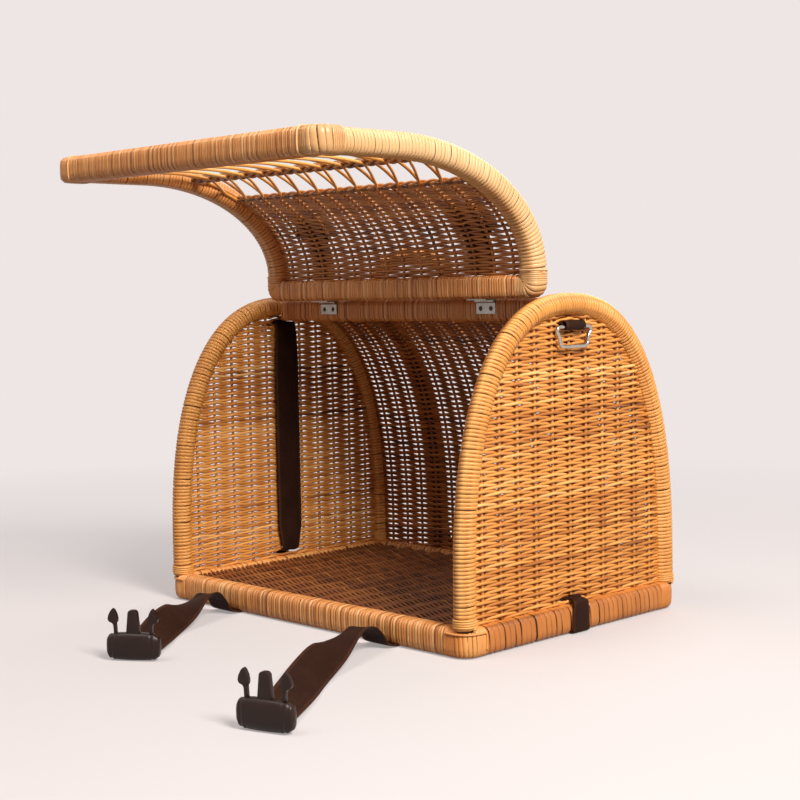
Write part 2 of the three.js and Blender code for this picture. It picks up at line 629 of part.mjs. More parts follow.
// The closed weave of the lid, then open stakes that lean both ways and cross, with a twined band.
function lidPanel(lid) {
  const curve = lidCurve();
  const section = wovenSection(2 * LID_PANEL_X);
  const sheet = sweep(planarStations(yzPath(stretch(curve, 0, LID_WEAVE)), X_AXIS), section);
  piece(lid, 'lid_panel', sheet, RATTAN_WEAVE);

  const [start, end] = [LID_WEAVE + FIT + EDGE_RADIUS, lengthOf(curve) - EDGE_RADIUS - FIT];
  const band = LID_WEAVE + LOWER_WINDOWS;
  const rows = [start, band, (band + end) / 2, end];
  const spots = rows.map((s) => stretch(curve, s, s + 0.5)[0]);
  const after = rows.map((s) => stretch(curve, s - 0.5, s)[0]);
  const inside = LID_PANEL_X - EDGE_RADIUS;
  const pitch = (2 * inside) / LATTICE_BAYS;
  const cane = circle(EDGE_RADIUS, 8);
  const parts = [0, 3].map((k) => barAlongX(cane, -LID_PANEL_X, LID_PANEL_X, ...spots[k]));
  const lean = Math.atan2(spots[1][1] - after[1][1], spots[1][0] - after[1][0]);
  const bandSection = roundedRectangle(BAND_HEIGHT, BAND_THICKNESS, BAND_THICKNESS / 3, 2);
  const bandBar = barAlongX(bandSection, -LID_PANEL_X, LID_PANEL_X, 0, 0);
  parts.push(bandBar.rotateX(lean).translate(0, ...spots[1]));
  const reach = pitch * LATTICE_LEAN;
  for (let i = 0; i < LATTICE_BAYS; i += 1) {
    const foot = -inside + (i + 0.5) * pitch;
    for (const side of [-1, 1]) {
      const points = rows.map((s, k) => {
        const x = foot + side * (STAKE_RADIUS / 2 + (reach * (s - start)) / (end - start));
        return [Math.max(-inside, Math.min(inside, x)), ...spots[k]];
      });
      points.slice(1).forEach((point, k) => parts.push(stake(points[k], point)));
    }
  }
  piece(lid, 'lid_lattice', join(...parts), RATTAN_TAN);
}

function stake(from, to) {
  const [a, b] = [new THREE.Vector3(...from), new THREE.Vector3(...to)];
  const along = b.clone().sub(a);
  const rod = new THREE.CylinderGeometry(STAKE_RADIUS, STAKE_RADIUS, along.length(), 6);
  const turn = new THREE.Quaternion().setFromUnitVectors(Y_AXIS, along.clone().normalize());
  const middle = a.add(b).multiplyScalar(0.5);
  return rod.applyQuaternion(turn).translate(middle.x, middle.y, middle.z);
}

// The sling webbing: from a ring, in through a slit, down inside the panel, out over the base rail,
// under the floor and up the other side. Places are for the right side, in (x, z).
const SLING = (() => {
  const ply = STRAP + FIT;
  const topHigh = ARCH_TOP - RAIL_RADIUS - FIT - SLIT_EDGE;
  const topLow = topHigh - ply - STRAP - 2 * FIT;
  const bottomLow = BASE_RAIL_HEIGHT + FIT + SLIT_EDGE;
  const bottomHigh = bottomLow + STRAP + 2 * FIT;
  const inside = ARCH_X - PANEL / 2 - FIT - STRAP / 2;
  const outside = ARCH_X + PANEL / 2 + FIT + STRAP / 2;
  const turn = RING_WIRE / 2 + FIT + STRAP / 2;
  const lowPly = topLow + FIT + STRAP / 2;
  return {
    topHigh, topLow, bottomLow, bottomHigh, inside, outside, turn, lowPly,
    highPly: lowPly + ply,
    barX: outside + turn,
    barZ: lowPly - RING_DROP,
    bottom: bottomLow + FIT + STRAP / 2,
    edge: WIDTH / 2 + FIT + STRAP / 2,
    across: STRAP_Z + STRAP + 2 * FIT,
  };
})();

function slingStrap() {
  const { inside, outside, turn, lowPly, highPly, barX, barZ, bottom, edge, across } = SLING;
  const half = [[ARCH_X - PANEL / 2, highPly], [barX + turn * 0.5, highPly], [barX + turn, highPly - turn]];
  for (let i = 0; i <= 6; i += 1) {
    const a = (Math.PI * i) / 6;
    half.push([barX + turn * Math.cos(a), barZ - turn * Math.sin(a)]);
  }
  half.push([outside, lowPly], [inside, lowPly], [inside, bottom], [edge, bottom], [edge, STRAP_Z]);
  half.push([WIDTH / 2 - BASE_RAIL_DEPTH - SEAT_DEPTH, STRAP_Z]);
  half.push([STRAP_X + STRAP_WIDTH, across]);
  const points = [...half, ...half.slice().reverse().map(([x, z]) => [-x, z])];
  const stations = planarStations(xzPath(points), Y_AXIS);
  piece(carrier, 'sling_strap', sweep(stations, rectangle(STRAP, STRAP_WIDTH)), WEBBING);
}

// Rectangular wire rings that hang in the ends of the sling.
function slingRings() {
  const width = RING_INSIDE + RING_WIRE;
  const outline = roundedRectangle(width, RING_HEIGHT, RING_BEND, 5);
  for (const [name, sx] of SIDES) {
    const middle = SLING.barZ - RING_HEIGHT / 2;
    const path = outline.map((p) => new THREE.Vector3(sx * SLING.barX, p.x, middle + p.y));
    const ring = sweep(planarStations(path, X_AXIS, true), circle(RING_WIRE / 2, 8), true);
    piece(carrier, `ring_${name}`, ring, STEEL);
  }
}

// The closing straps: under the base and up the back, a free end at the front, and a stretch on the lid.
function closingStraps(lid) {
  const out = PANEL / 2 + FIT + STRAP / 2;
  const back = DEPTH / 2 + FIT + STRAP / 2;
  const climb = archHalf(out, BASE_RAIL_HEIGHT + 2 * out, 16).filter(([y]) => y > SQUARE_RAIL);
  const route = [[-DEPTH / 2, STRAP_Z], [back, STRAP_Z], [back, BASE_RAIL_HEIGHT], ...climb];
  const ribbon = rectangle(STRAP, STRAP_WIDTH);
  const onLid = upToSocket(lidCurve(out));
  for (const [name, sx] of SIDES) {
    const x = sx * STRAP_X;
    piece(carrier, `strap_${name}_base`, sweep(planarStations(yzPath(route, x), X_AXIS), ribbon), WEBBING);
    piece(lid, `strap_${name}_lid`, sweep(planarStations(yzPath(onLid, x), X_AXIS), ribbon), WEBBING);
    freeEnd(name, x);
  }
}

// A loose front end: it humps up from under the rail, twists and lies down to its buckle.
function freeEnd(name, x) {
  const { route } = STRAP_ENDS[name];
  const start = new THREE.Vector3(x, -DEPTH / 2 - FIT, 0);
  const points = route.map(([px, py, pz]) => new THREE.Vector3(px, py, pz).add(start));
  const widths = route.map(([, , , wx, wy, wz]) => new THREE.Vector3(wx, wy, wz));
  const centre = new THREE.CatmullRomCurve3(points);
  const across = new THREE.CatmullRomCurve3(widths);
  const steps = 2 * (route.length - 1);
  const stations = [];
  for (let i = 0; i <= steps; i += 1) {
    const along = i === 0 ? new THREE.Vector3(0, -1, 0) : centre.getTangent(i / steps);
    const w = across.getPoint(i / steps);
    const v = w.addScaledVector(along, -w.dot(along)).normalize();
    stations.push({ point: centre.getPoint(i / steps), u: v.clone().cross(along), v });
  }
  piece(carrier, `strap_${name}_free`, sweep(stations, rectangle(STRAP, STRAP_WIDTH)), WEBBING);
  maleBuckle(name, stations[stations.length - 1]);
}

// The plug half of a side-release buckle, standing on its strap bar with the prongs up.
function maleBuckle(name, end) {
  const body = new THREE.Shape(roundedRectangle(BUCKLE_WIDTH, BUCKLE_BODY, 3, 3));
  const block = new THREE.ExtrudeGeometry(body, { depth: BUCKLE_THICKNESS, bevelEnabled: false });
  block.translate(0, BUCKLE_BODY / 2, -BUCKLE_THICKNESS / 2);
  const parts = [block];
  const prongX = BUCKLE_WIDTH / 2 - PRONG_WIDTH - PRONG_HEAD / 2;
  for (const s of [-1, 1]) {
    const outline = [
      [-PRONG_WIDTH / 2, -3], [PRONG_WIDTH / 2, -3], [PRONG_WIDTH / 2, PRONG_LENGTH * 0.4],
      [PRONG_WIDTH / 2 + PRONG_HEAD, PRONG_LENGTH * 0.5],
      [PRONG_WIDTH / 2 + PRONG_HEAD * 0.7, PRONG_LENGTH * 0.75],
      [0, PRONG_LENGTH], [-PRONG_WIDTH / 2, PRONG_LENGTH * 0.9],
    ].map(([a, b]) => new THREE.Vector2(s * a, b));
    parts.push(prong(s > 0 ? outline : outline.reverse(), s * prongX));
  }
  const up = new THREE.Vector2(0, PRONG_LENGTH / 2);
  const guide = rectangle(GUIDE_WIDTH, PRONG_LENGTH + 3).map((p) => p.add(up));
  parts.push(prong(guide, 0));
  const solid = join(...parts);
  const across = end.v.clone().setZ(0).normalize();
  const away = new THREE.Vector3(0, 0, 1).cross(across);
  const place = new THREE.Matrix4().makeBasis(across, new THREE.Vector3(0, 0, 1), away.clone().negate());
  const middle = end.point.clone().addScaledVector(away, -(BUCKLE_THICKNESS / 2 + FIT)).setZ(FIT);
  solid.applyMatrix4(place.setPosition(middle));
  piece(carrier, `buckle_${name}_male`, solid, PLASTIC);
}

function prong(outline, x) {
  const shape = new THREE.Shape(outline);
  const blade = new THREE.ExtrudeGeometry(shape, { depth: PRONG_THICKNESS, bevelEnabled: false });
  return blade.translate(x, BUCKLE_BODY, -PRONG_THICKNESS / 2);
}

// The socket half on the end of each lid strap, lying on the closed weave.
function femaleBuckles(lid) {
  const { along, normal, middle } = socketSeat();
  const shell = new THREE.ExtrudeGeometry(
    new THREE.Shape(roundedRectangle(BUCKLE_WIDTH, SOCKET_LENGTH, 4, 3)),
    { depth: BUCKLE_THICKNESS, bevelEnabled: false },
  ).translate(0, 0, -BUCKLE_THICKNESS / 2);
  const mouth = BUCKLE_WIDTH - 4 * SOCKET_WALL;
  const hollow = BUCKLE_THICKNESS - 2 * SOCKET_WALL;
  const depth = PRONG_LENGTH + 2 * SOCKET_WALL;
  const cavity = box(mouth, depth, hollow, [0, SOCKET_LENGTH / 2 - depth / 2 + RUN, 0]);
  const windows = box(2 * BUCKLE_WIDTH, depth / 2, hollow, [0, SOCKET_LENGTH / 2 - depth * 0.7, 0]);
  for (const [name, sx] of SIDES) {
    const solid = cut(shell, cavity, windows);
    const place = new THREE.Matrix4().makeBasis(X_AXIS.clone().negate(), along, normal);
    solid.applyMatrix4(place.setPosition(middle.clone().setX(sx * STRAP_X)));
    piece(lid, `buckle_${name}_female`, solid, PLASTIC);
  }
}

// Where a socket lies on the shut lid: its middle, the way it points and the way it faces.
function socketSeat() {
  const span = stretch(lidCurve(), SOCKET_PLACE - RUN, SOCKET_PLACE + RUN);
  const [from, to] = [span[0], span[span.length - 1]];
  const along = new THREE.Vector3(0, to[0] - from[0], to[1] - from[1]).normalize();
  const normal = along.clone().cross(X_AXIS);
  const middle = new THREE.Vector3(0, (from[0] + to[0]) / 2, (from[1] + to[1]) / 2);
  middle.addScaledVector(normal, PANEL / 2 + FIT + BUCKLE_THICKNESS / 2);
  return { along, normal, middle };
}

// The part of a path before it comes up to the back of a socket.
function upToSocket(points) {
  const { along, middle } = socketSeat();
  const short = ([y, z]) => (y - middle.y) * along.y + (z - middle.z) * along.z + SOCKET_LENGTH / 2 + FIT;
  const last = points.findIndex((p) => short(p) > 0);
  const [a, b] = [points[last - 1], points[last]];
  const part = short(a) / (short(a) - short(b));
  return [...points.slice(0, last), [0, 1].map((k) => a[k] + (b[k] - a[k]) * part)];
}

const swing = new THREE.Group();
swing.position.set(0, AXIS_Y, AXIS_Z);
swing.rotation.x = -THREE.MathUtils.degToRad(LID_OPEN_DEG);
const shut = new THREE.Group();
shut.position.set(0, -AXIS_Y, -AXIS_Z);
swing.add(shut);
carrier.add(swing);

baseFrame();
floorPanel();
arches();
ridgeRail();
backPanel();
carryHandle();
hinges(shut);
lidFrame(shut);
lidPanel(shut);
slingStrap();
slingRings();
closingStraps(shut);
femaleBuckles(shut);

export default carrier;
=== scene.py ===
# A small rattan pet carrier: wrapped rails, woven panels, a lid on two hinges, webbing and buckles.
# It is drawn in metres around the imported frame, X along the ridge, the open side facing -Y.

import math

import bmesh
import bpy
import numpy as np
from mathutils import Matrix, Vector


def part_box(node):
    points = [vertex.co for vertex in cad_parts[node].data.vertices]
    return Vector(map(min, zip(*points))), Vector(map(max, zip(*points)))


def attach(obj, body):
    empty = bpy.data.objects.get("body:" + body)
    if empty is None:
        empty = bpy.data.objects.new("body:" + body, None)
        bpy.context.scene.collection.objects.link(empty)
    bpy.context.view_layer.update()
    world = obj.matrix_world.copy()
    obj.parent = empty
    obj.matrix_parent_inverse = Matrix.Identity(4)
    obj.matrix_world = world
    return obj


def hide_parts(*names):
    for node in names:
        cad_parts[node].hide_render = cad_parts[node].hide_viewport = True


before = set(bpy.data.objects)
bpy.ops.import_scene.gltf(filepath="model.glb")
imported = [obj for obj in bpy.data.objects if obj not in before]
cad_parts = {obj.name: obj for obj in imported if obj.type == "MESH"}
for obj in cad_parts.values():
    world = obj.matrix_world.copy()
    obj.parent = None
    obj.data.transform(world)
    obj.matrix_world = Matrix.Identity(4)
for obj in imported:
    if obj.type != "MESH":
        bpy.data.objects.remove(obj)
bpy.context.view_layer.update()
scene = bpy.context.scene
scene.view_settings.view_transform = "Standard"


# Studio: a pale floor that fades into a backdrop of its own tone, seen from the right of the open
# front. Large soft lamps light it, the strongest from the right and above.
class Wire:
    """One output of a node; arithmetic on it adds Math nodes to its tree."""

    def __init__(self, board, socket):
        self.board = board
        self.socket = socket

    def maths(self, operation, *others):
        return self.board.maths(operation, self, *others)

    def also(self, output):
        return Wire(self.board, self.socket.node.outputs[output])

    def __add__(self, other):
        return self.maths("ADD", other)

    def __sub__(self, other):
        return self.maths("SUBTRACT", other)

    def __rsub__(self, other):
        return self.board.maths("SUBTRACT", other, self)

    def __mul__(self, other):
        return self.maths("MULTIPLY", other)

    def __truediv__(self, other):
        return self.maths("DIVIDE", other)

    def __rtruediv__(self, other):
        return self.board.maths("DIVIDE", other, self)

    def __pow__(self, other):
        return self.maths("POWER", other)

    def __abs__(self):
        return self.maths("ABSOLUTE")

    __radd__ = __add__
    __rmul__ = __mul__


class Board:
    """A node tree being filled; a node gets its settings first and then its inputs."""

    def __init__(self, tree):
        self.tree = tree

    def join(self, value, socket):
        if isinstance(value, Wire):
            self.tree.links.new(value.socket, socket)
        else:
            socket.default_value = value

    def node(self, kind, settings, inputs, out=0):
        made = self.tree.nodes.new(kind)
        for name, value in settings.items():
            if name == "stops":
                ramp = made.color_ramp.elements
                while len(ramp) < len(value):
                    ramp.new(0.5)
                for stop, (position, code) in zip(ramp, value):
                    stop.position = position
                    stop.color = linear(code)
            else:
                setattr(made, name, value)
        for key, value in inputs.items():
            for one in value if isinstance(value, list) else [value]:
                self.join(one, made.inputs[key])
        return Wire(self, made.outputs[out])

    def maths(self, operation, *inputs):
        return self.node("ShaderNodeMath", {"operation": operation}, dict(enumerate(inputs)))

    def vectors(self, operation, *inputs):
        return self.node("ShaderNodeVectorMath", {"operation": operation}, dict(enumerate(inputs)))

    def vector(self, *parts):
        return self.node("ShaderNodeCombineXYZ", {}, dict(enumerate(parts)))

    def noise(self, vector, scale, detail=2.0):
        inputs = {"Vector": vector, "Scale": scale, "Detail": detail}
        return self.node("ShaderNodeTexNoise", {}, inputs)

    def ranged(self, *limits, **settings):
        """A value carried from one range to another: the value, the old ends, the new ends."""
        return self.node("ShaderNodeMapRange", settings, dict(enumerate(limits)))

    def mix(self, factor, *colours):
        """Two colours mixed, each a link or six hex digits."""
        one, two = (c if isinstance(c, Wire) else linear(c) for c in colours)
        return self.node("ShaderNodeMix", {"data_type": "RGBA"}, {0: factor, 6: one, 7: two}, 2)

    def layered(self, factor, under, over):
        return self.node("ShaderNodeMixShader", {}, {0: factor, 1: under, 2: over})


class Finish(Board):
    """The board of a new material, with one shader to feed."""

    def __init__(self, name):
        self.material = bpy.data.materials.new(name)
        self.material.use_nodes = True
        super().__init__(self.material.node_tree)
        self.shader = self.tree.nodes["Principled BSDF"]

    def place(self):
        return self.node("ShaderNodeTexCoord", {}, {}, "Object")

    def bump(self, strength, distance, height):
        inputs = {"Strength": strength, "Distance": distance, "Height": height}
        return self.node("ShaderNodeBump", {}, inputs)

    def feed(self, **sockets):
        """Gives the shader's sockets their values or links, with an underscore for a space."""
        for name, value in sockets.items():
            self.join(value, self.shader.inputs[name.replace("_", " ")])
        return self.material


def linear(code):
    """An sRGB colour written as six hex digits, as linear values and full alpha."""
    parts = [int(code[i : i + 2], 16) / 255 for i in (0, 2, 4)]
    return (*(c / 12.92 if c <= 0.04045 else ((c + 0.055) / 1.055) ** 2.4 for c in parts), 1)


def put(name, mesh, *materials):
    made = bpy.data.objects.new(name, mesh)
    scene.collection.objects.link(made)
    for material in materials:
        mesh.materials.append(material)
    return made


PALE = linear("EEE6E4")
DAYLIGHT = (1.0, 0.985, 0.965, 1)
BOUNCE = (0.24, 0.21, 0.18, 1)  # what the floor throws back on the part
FLOOR_HALF = 3.0
NEAR, FAR = 0.3, 1.5  # between these the floor goes over to the backdrop's tone
FLOOR_DROP = 0.0002  # floor just under the surface that the rails stand on

world = bpy.data.worlds.new("studio")
scene.world = world
world.use_nodes = True
sky = Board(world.node_tree)
ray = sky.node("ShaderNodeLightPath", {}, {}, "Is Camera Ray")
seen = ray.maths("MAXIMUM", ray.also("Is Glossy Ray"))
seen = seen.maths("MAXIMUM", ray.also("Is Transmission Ray"))
shown = sky.node("ShaderNodeBackground", {}, {"Color": PALE, "Strength": 1.0})
lighting = sky.node("ShaderNodeBackground", {}, {"Color": DAYLIGHT, "Strength": 0.10})
sky.join(sky.layered(seen, lighting, shown), sky.tree.nodes["World Output"].inputs["Surface"])

paper = Finish("pale paper")
mottle = paper.noise(paper.place(), 3.0)
paper.feed(Base_Color=paper.mix(mottle, "DAD4D6", "D5CFD1"), Roughness=0.9)
dim = paper.node("ShaderNodeBsdfDiffuse", {}, {"Color": BOUNCE})
glow = paper.node("ShaderNodeEmission", {}, {"Color": PALE, "Strength": 1.0})
away = paper.node("ShaderNodeVectorMath", {"operation": "LENGTH"}, {0: paper.place()}, "Value")
fade = paper.ranged(away, NEAR, FAR, 0.35, 1.0)
lit = paper.layered(fade, Wire(paper, paper.shader.outputs[0]), glow)
ray = paper.node("ShaderNodeLightPath", {}, {}, "Is Camera Ray")
seen = ray.maths("MAXIMUM", ray.also("Is Glossy Ray"))
paper.join(paper.layered(seen, dim, lit), paper.tree.nodes["Material Output"].inputs["Surface"])
floor_mesh = bpy.data.meshes.new("floor")
corners = ((-1, -1), (1, -1), (1, 1), (-1, 1))
floor_mesh.from_pydata(
    [(x * FLOOR_HALF, y * FLOOR_HALF, -FLOOR_DROP) for x, y in corners], [], [(0, 1, 2, 3)]
)
put("floor", floor_mesh, paper.material)


MIDDLE = (0, 0.1, 0.2)  # what the lamps point at


def lamp(name, place, size, power, colour):
    """A round soft lamp, so many metres across and so many watts."""
    data = bpy.data.lights.new(name, "AREA")
    data.shape = "DISK"
    data.size = size
    data.energy = power
    data.color = colour
    made = bpy.data.objects.new(name, data)
    scene.collection.objects.link(made)
    made.location = place
    made.rotation_euler = (Vector(MIDDLE) - Vector(place)).to_track_quat("-Z", "Y").to_euler()


lamp("key", (1.9, -0.42, 1.7), size=0.9, power=84, colour=(1.0, 0.94, 0.86))
lamp("fill", (-0.3, -1.2, 2.4), size=1.2, power=22, colour=(1.0, 0.96, 0.91))
lamp("back", (-0.6, 1.9, 1.8), size=1.6, power=18, colour=(1.0, 0.98, 0.96))

CAMERA_PLACE = (1.082, -0.938, 0.312)
YAW, PITCH, ROLL = math.radians(45.57), math.radians(4.05), math.radians(-1.03)
LENS = 69.2
SENSOR = 36
ahead = Vector((-math.sin(YAW) * math.cos(PITCH), math.cos(YAW) * math.cos(PITCH), -math.sin(PITCH)))
level = ahead.cross(Vector((0, 0, 1))).normalized()
upright = level.cross(ahead)
right = math.cos(ROLL) * level + math.sin(ROLL) * upright
upward = math.cos(ROLL) * upright - math.sin(ROLL) * level
camera_data = bpy.data.cameras.new("camera")
camera_data.lens = LENS
camera_data.sensor_width = SENSOR
camera = bpy.data.objects.new("camera", camera_data)
scene.collection.objects.link(camera)
turned = Matrix((right, upward, -ahead)).transposed().to_4x4()
camera.matrix_world = Matrix.Translation(CAMERA_PLACE) @ turned
scene.camera = camera


# Base frame: four straight canes wrapped in split peel, joined at corners that are wrapped round.
# The front and back rails have narrow tan peel, the side rails wide orange peel.
def open_tree(name, **sockets):
    """A Geometry Nodes tree on a guide, its inputs listed by kind; gives its board, its inputs,
    the guide as a curve and the curve's length."""
    tree = bpy.data.node_groups.new(name, "GeometryNodeTree")
    tree.interface.new_socket("guide", in_out="INPUT", socket_type="NodeSocketGeometry")
    for kind, labels in sockets.items():
        for label in labels.split(", "):
            tree.interface.new_socket(label, in_out="INPUT", socket_type="NodeSocket" + kind)
    tree.interface.new_socket("made", in_out="OUTPUT", socket_type="NodeSocketGeometry")
    board = Board(tree)
    entry = tree.nodes.new("NodeGroupInput")
    given = {s.name: Wire(board, s) for s in entry.outputs if s.name}
    path = board.node("GeometryNodeMeshToCurve", {}, {0: given["guide"]})
    return board, given, path, board.node("GeometryNodeCurveLength", {}, {0: path})


def close_tree(board, parts, material):
    """Joins the parts, gives them their finish and ends the tree."""
    joined = board.node("GeometryNodeJoinGeometry", {}, {0: parts})
    welded = board.node("GeometryNodeMergeByDistance", {}, {0: joined, "Distance": 1e-6})
    smooth = board.node("GeometryNodeSetShadeSmooth", {}, {0: welded})
    real = board.node("GeometryNodeRealizeInstances", {}, {0: smooth})
    done = board.node("GeometryNodeSetMaterial", {}, {0: real, "Material": material})
    board.join(done, board.tree.nodes.new("NodeGroupOutput").inputs[0])
    return board.tree


def store(board, geometry, name, value, kind="FLOAT", domain="POINT"):
    settings = {"data_type": kind, "domain": domain}
    inputs = {0: geometry, 2: name, 3: value}
    return board.node("GeometryNodeStoreNamedAttribute", settings, inputs)


def recall(board, name):
    return board.node("GeometryNodeInputNamedAttribute", {"data_type": "FLOAT"}, {0: name})


def toned(board, geometry, shade, *grain):
    """Gives strands their tone and the coordinates of their fibres."""
    geometry = store(board, geometry, "shade", shade)
    return store(board, geometry, "grain", board.vector(*grain), "FLOAT_VECTOR")


def spot(board):
    """A point's own x; its y and z are further outputs."""
    place = board.node("GeometryNodeInputPosition", {}, {})
    return board.node("ShaderNodeSeparateXYZ", {}, {0: place})


def sample(board, path, length):
    """The point of a guide at a length along it; its tangent and value are further outputs."""
    settings = {"mode": "LENGTH", "use_all_curves": False}
    inputs = {"Curves": path, "Value": recall(board, "reach"), "Length": length}
    return board.node("GeometryNodeSampleCurve", settings, inputs, "Position")


def shifted(board, point, direction, distance):
    return board.vectors("MULTIPLY_ADD", direction, distance, point)


def moved(board, geometry, place):
    return board.node("GeometryNodeSetPosition", {}, {0: geometry, "Position": place})


STEPS_PER_TURN = 20
STRIP_SIDES = 8
CORE_STEPS = 60
CORE_SIDES = 16
CORE_DEPTH = 0.85  # core's skin under the top of the strip, as a share of its thickness


def wrapping_tree():
    """Peel wound round a cane: a helix of flat oval strip over a core painted near-black, as painted shade
    in the gaps between the strips.
    """
    board, given, path, length = open_tree(
        "wrapping",
        Float="strip width, strip thickness, half along side, half across side, squareness, wander, seed",
        Vector="side",
        Material="finish",
    )
    side, power, seed = given["side"], given["squareness"], given["seed"]
    thick = given["strip thickness"]
    turns = (length / given["strip width"]).maths("ROUND").maths("MAXIMUM", 1.0)
    pitch = length / turns

    def outside(along, angle, lift):
        """The point at a length and an angle on the cane, whose half sizes go through lift."""
        point = sample(board, path, along.maths("MAXIMUM", 0.0).maths("MINIMUM", length))
        other = board.vectors("CROSS_PRODUCT", point.also("Tangent"), side)
        other = board.vectors("NORMALIZE", other)
        cosine, sine = angle.maths("COSINE"), angle.maths("SINE")
        reach = (abs(cosine) ** power + abs(sine) ** power) ** (-1.0 / power)
        near = cosine * reach * lift(given["half along side"])
        far = sine * reach * lift(given["half across side"])
        return shifted(board, shifted(board, point, side, near), other, far)

    def grid(columns, rows):
        made = board.node("GeometryNodeMeshGrid", {}, {0: 1.0, 1: 1.0, 2: columns, 3: rows})
        across = spot(board)
        return made, across + 0.5, across.also("Y") + 0.5

    def chance(step, apart, detail):
        """A random value around nought that changes smoothly from turn to turn."""
        inputs = {"W": turn * step + seed * apart, "Scale": 1.0, "Detail": detail}
        return board.node("ShaderNodeTexNoise", {"noise_dimensions": "1D"}, inputs) - 0.5

    strip, u, v = grid(turns * float(STEPS_PER_TURN) + 1.0, STRIP_SIDES + 1)
    turn = u * turns
    round_strip = v * math.tau
    beside = round_strip.maths("COSINE") * 0.5
    along = (turn + beside + chance(0.83, 17.3, 2.0) * given["wander"]) * pitch
    high = round_strip.maths("SINE") * 0.5 - 0.5
    strip = moved(board, strip, outside(along, turn * math.tau, lambda half: half + high * thick))
    girth = given["half along side"] * math.tau
    tone = chance(2.3, 31.7, 3.0) * 2.5 + 0.5
    strip = toned(board, strip, tone, turn * girth, beside * pitch, seed)

    core, u, v = grid(CORE_STEPS + 3, CORE_SIDES + 1)
    rings = float(CORE_STEPS + 2)
    within = (u * rings - 1.0) / float(CORE_STEPS)
    within = within.maths("MAXIMUM", 0.0).maths("MINIMUM", 1.0)
    closing = (u * rings).maths("MINIMUM", (1.0 - u) * rings).maths("MINIMUM", 1.0)
    place = outside(within * length, v * math.tau, lambda half: (half - thick * CORE_DEPTH) * closing)
    # The core is stored with shade -1, which the finish paints near-black: painted shade seen in the gaps
    # between the strips.
    core = store(board, moved(board, core, place), "shade", -1.0)
    return close_tree(board, [strip, core], given["finish"])


WRAPPING = wrapping_tree()


def mark(mesh, name, values):
    """Stores a number or a vector for each point of a mesh."""
    values = np.array(values, dtype=np.float32)
    kind, key = ("FLOAT", "value") if values.ndim == 1 else ("FLOAT_VECTOR", "vector")
    mesh.attributes.new(name, kind, "POINT").data.foreach_set(key, values.ravel())


def guide_line(points, reach=None):
    """A line for a tree to grow on; reach is how far the panel goes to each side of it."""
    mesh = bpy.data.meshes.new("guide")
    mesh.from_pydata([tuple(p) for p in points], [(i, i + 1) for i in range(len(points) - 1)], [])
    if reach is not None:
        mark(mesh, "reach", reach)
    return mesh


def face_out(mesh):
    """Turns a mesh's faces outwards."""
    fresh = bmesh.new()
    fresh.from_mesh(mesh)
    bmesh.ops.recalc_face_normals(fresh, faces=fresh.faces)
    fresh.to_mesh(mesh)
    fresh.free()


def grow(name, tree, guide, **inputs):
    """Runs a tree on a guide and keeps the result as a plain mesh."""
    made = put(name, guide)
    modifier = made.modifiers.new(tree.name, "NODES")
    modifier.node_group = tree
    for item in tree.interface.items_tree:
        key = item.name.replace(" ", "_")
        if item.in_out == "INPUT" and key in inputs:
            modifier[item.identifier] = inputs[key]
    graph = bpy.context.evaluated_depsgraph_get()
    mesh = bpy.data.meshes.new_from_object(
        made.evaluated_get(graph), preserve_all_data_layers=True, depsgraph=graph
    )
    made.modifiers.remove(modifier)
    made.data = mesh
    face_out(mesh)
    return made


def fit(made, body, node):
    """Sets the body that carries a piece and hides the node it stands for."""
    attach(made, body)
    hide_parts(node)
    return made


def rattan(name, gloss, *tones):
    """Split or round cane: every strand has its own tone, with fine fibres along it."""
    finish = Finish(name)
    shade = finish.node("ShaderNodeAttribute", {"attribute_name": "shade"}, {}, "Fac")
    grain = finish.node("ShaderNodeAttribute", {"attribute_name": "grain"}, {}, "Vector")
    blotch = finish.noise(finish.place(), 22.0, 3.0)
    fibre = finish.noise(finish.vectors("MULTIPLY", grain, (70.0, 2600.0, 13.0)), 1.0, 3.0)
    knot = finish.noise(finish.vectors("MULTIPLY", grain, (16.0, 260.0, 7.0)), 1.0)
    tone = shade * 0.5 + blotch * 0.36 + fibre * 0.32 - 0.115
    # The darkest stop carries the painted shade of the weave's recesses, and also the darker twines of the
    # lid lattice.
    stops = list(zip((0.0, 0.22, 0.5, 0.86), ("3A1D0B", *tones)))
    colour = finish.node("ShaderNodeValToRGB", {"stops": stops}, {0: tone})
    colour = finish.mix(finish.ranged(knot, 0.62, 0.74, 0.0, 0.4), colour, "7A4520")
    # Points with shade below -0.5 are the cane's core, painted near-black as the shade in the gaps between
    # strips.
    core = shade.maths("LESS_THAN", -0.5)
    return finish.feed(
        Base_Color=finish.mix(core, colour, "2E170A"),
        Roughness=gloss + fibre * 0.18,
        Coat_Weight=(1.0 - core) * 0.18,
        Coat_Roughness=0.28,
        Normal=finish.bump(0.35, 0.0004, fibre),
    )


ORANGE = rattan("orange peel", 0.4, "B66C2E", "DF9046", "F4B872")
TAN = rattan("tan peel", 0.4, "9C5826", "D88F4C", "F7CA92")

ENDS = (("front", -1), ("back", 1))
SIDES = (("left", -1), ("right", 1))
UP = (0.0, 0.0, 1.0)
BACK = 0.141  # from the front rail's middle to the middle of the base
BASE_X, BASE_Y = 0.210, 0.151  # half width and half depth of the base
RAIL_HIGH, RAIL_DEEP = 0.026, 0.020
RAIL_SQUARE = 4.0  # power of a rail's section: 2 is round, more is squarer
NARROW_PEEL = (0.0034, 0.0013)  # width and thickness of the strip
WIDE_PEEL = (0.0068, 0.0012)
CORNER_PEEL = (0.0016, 0.0013)
CORNER = 0.024
CORNER_BEND = 0.006
CORNER_LAP = 0.0025  # corner peel laid over the ends of the rails
PROUD = 0.0004
LAID_CANE = 0.0010  # strand laid round the front corners, under the arches
LAID_Z = 0.0215


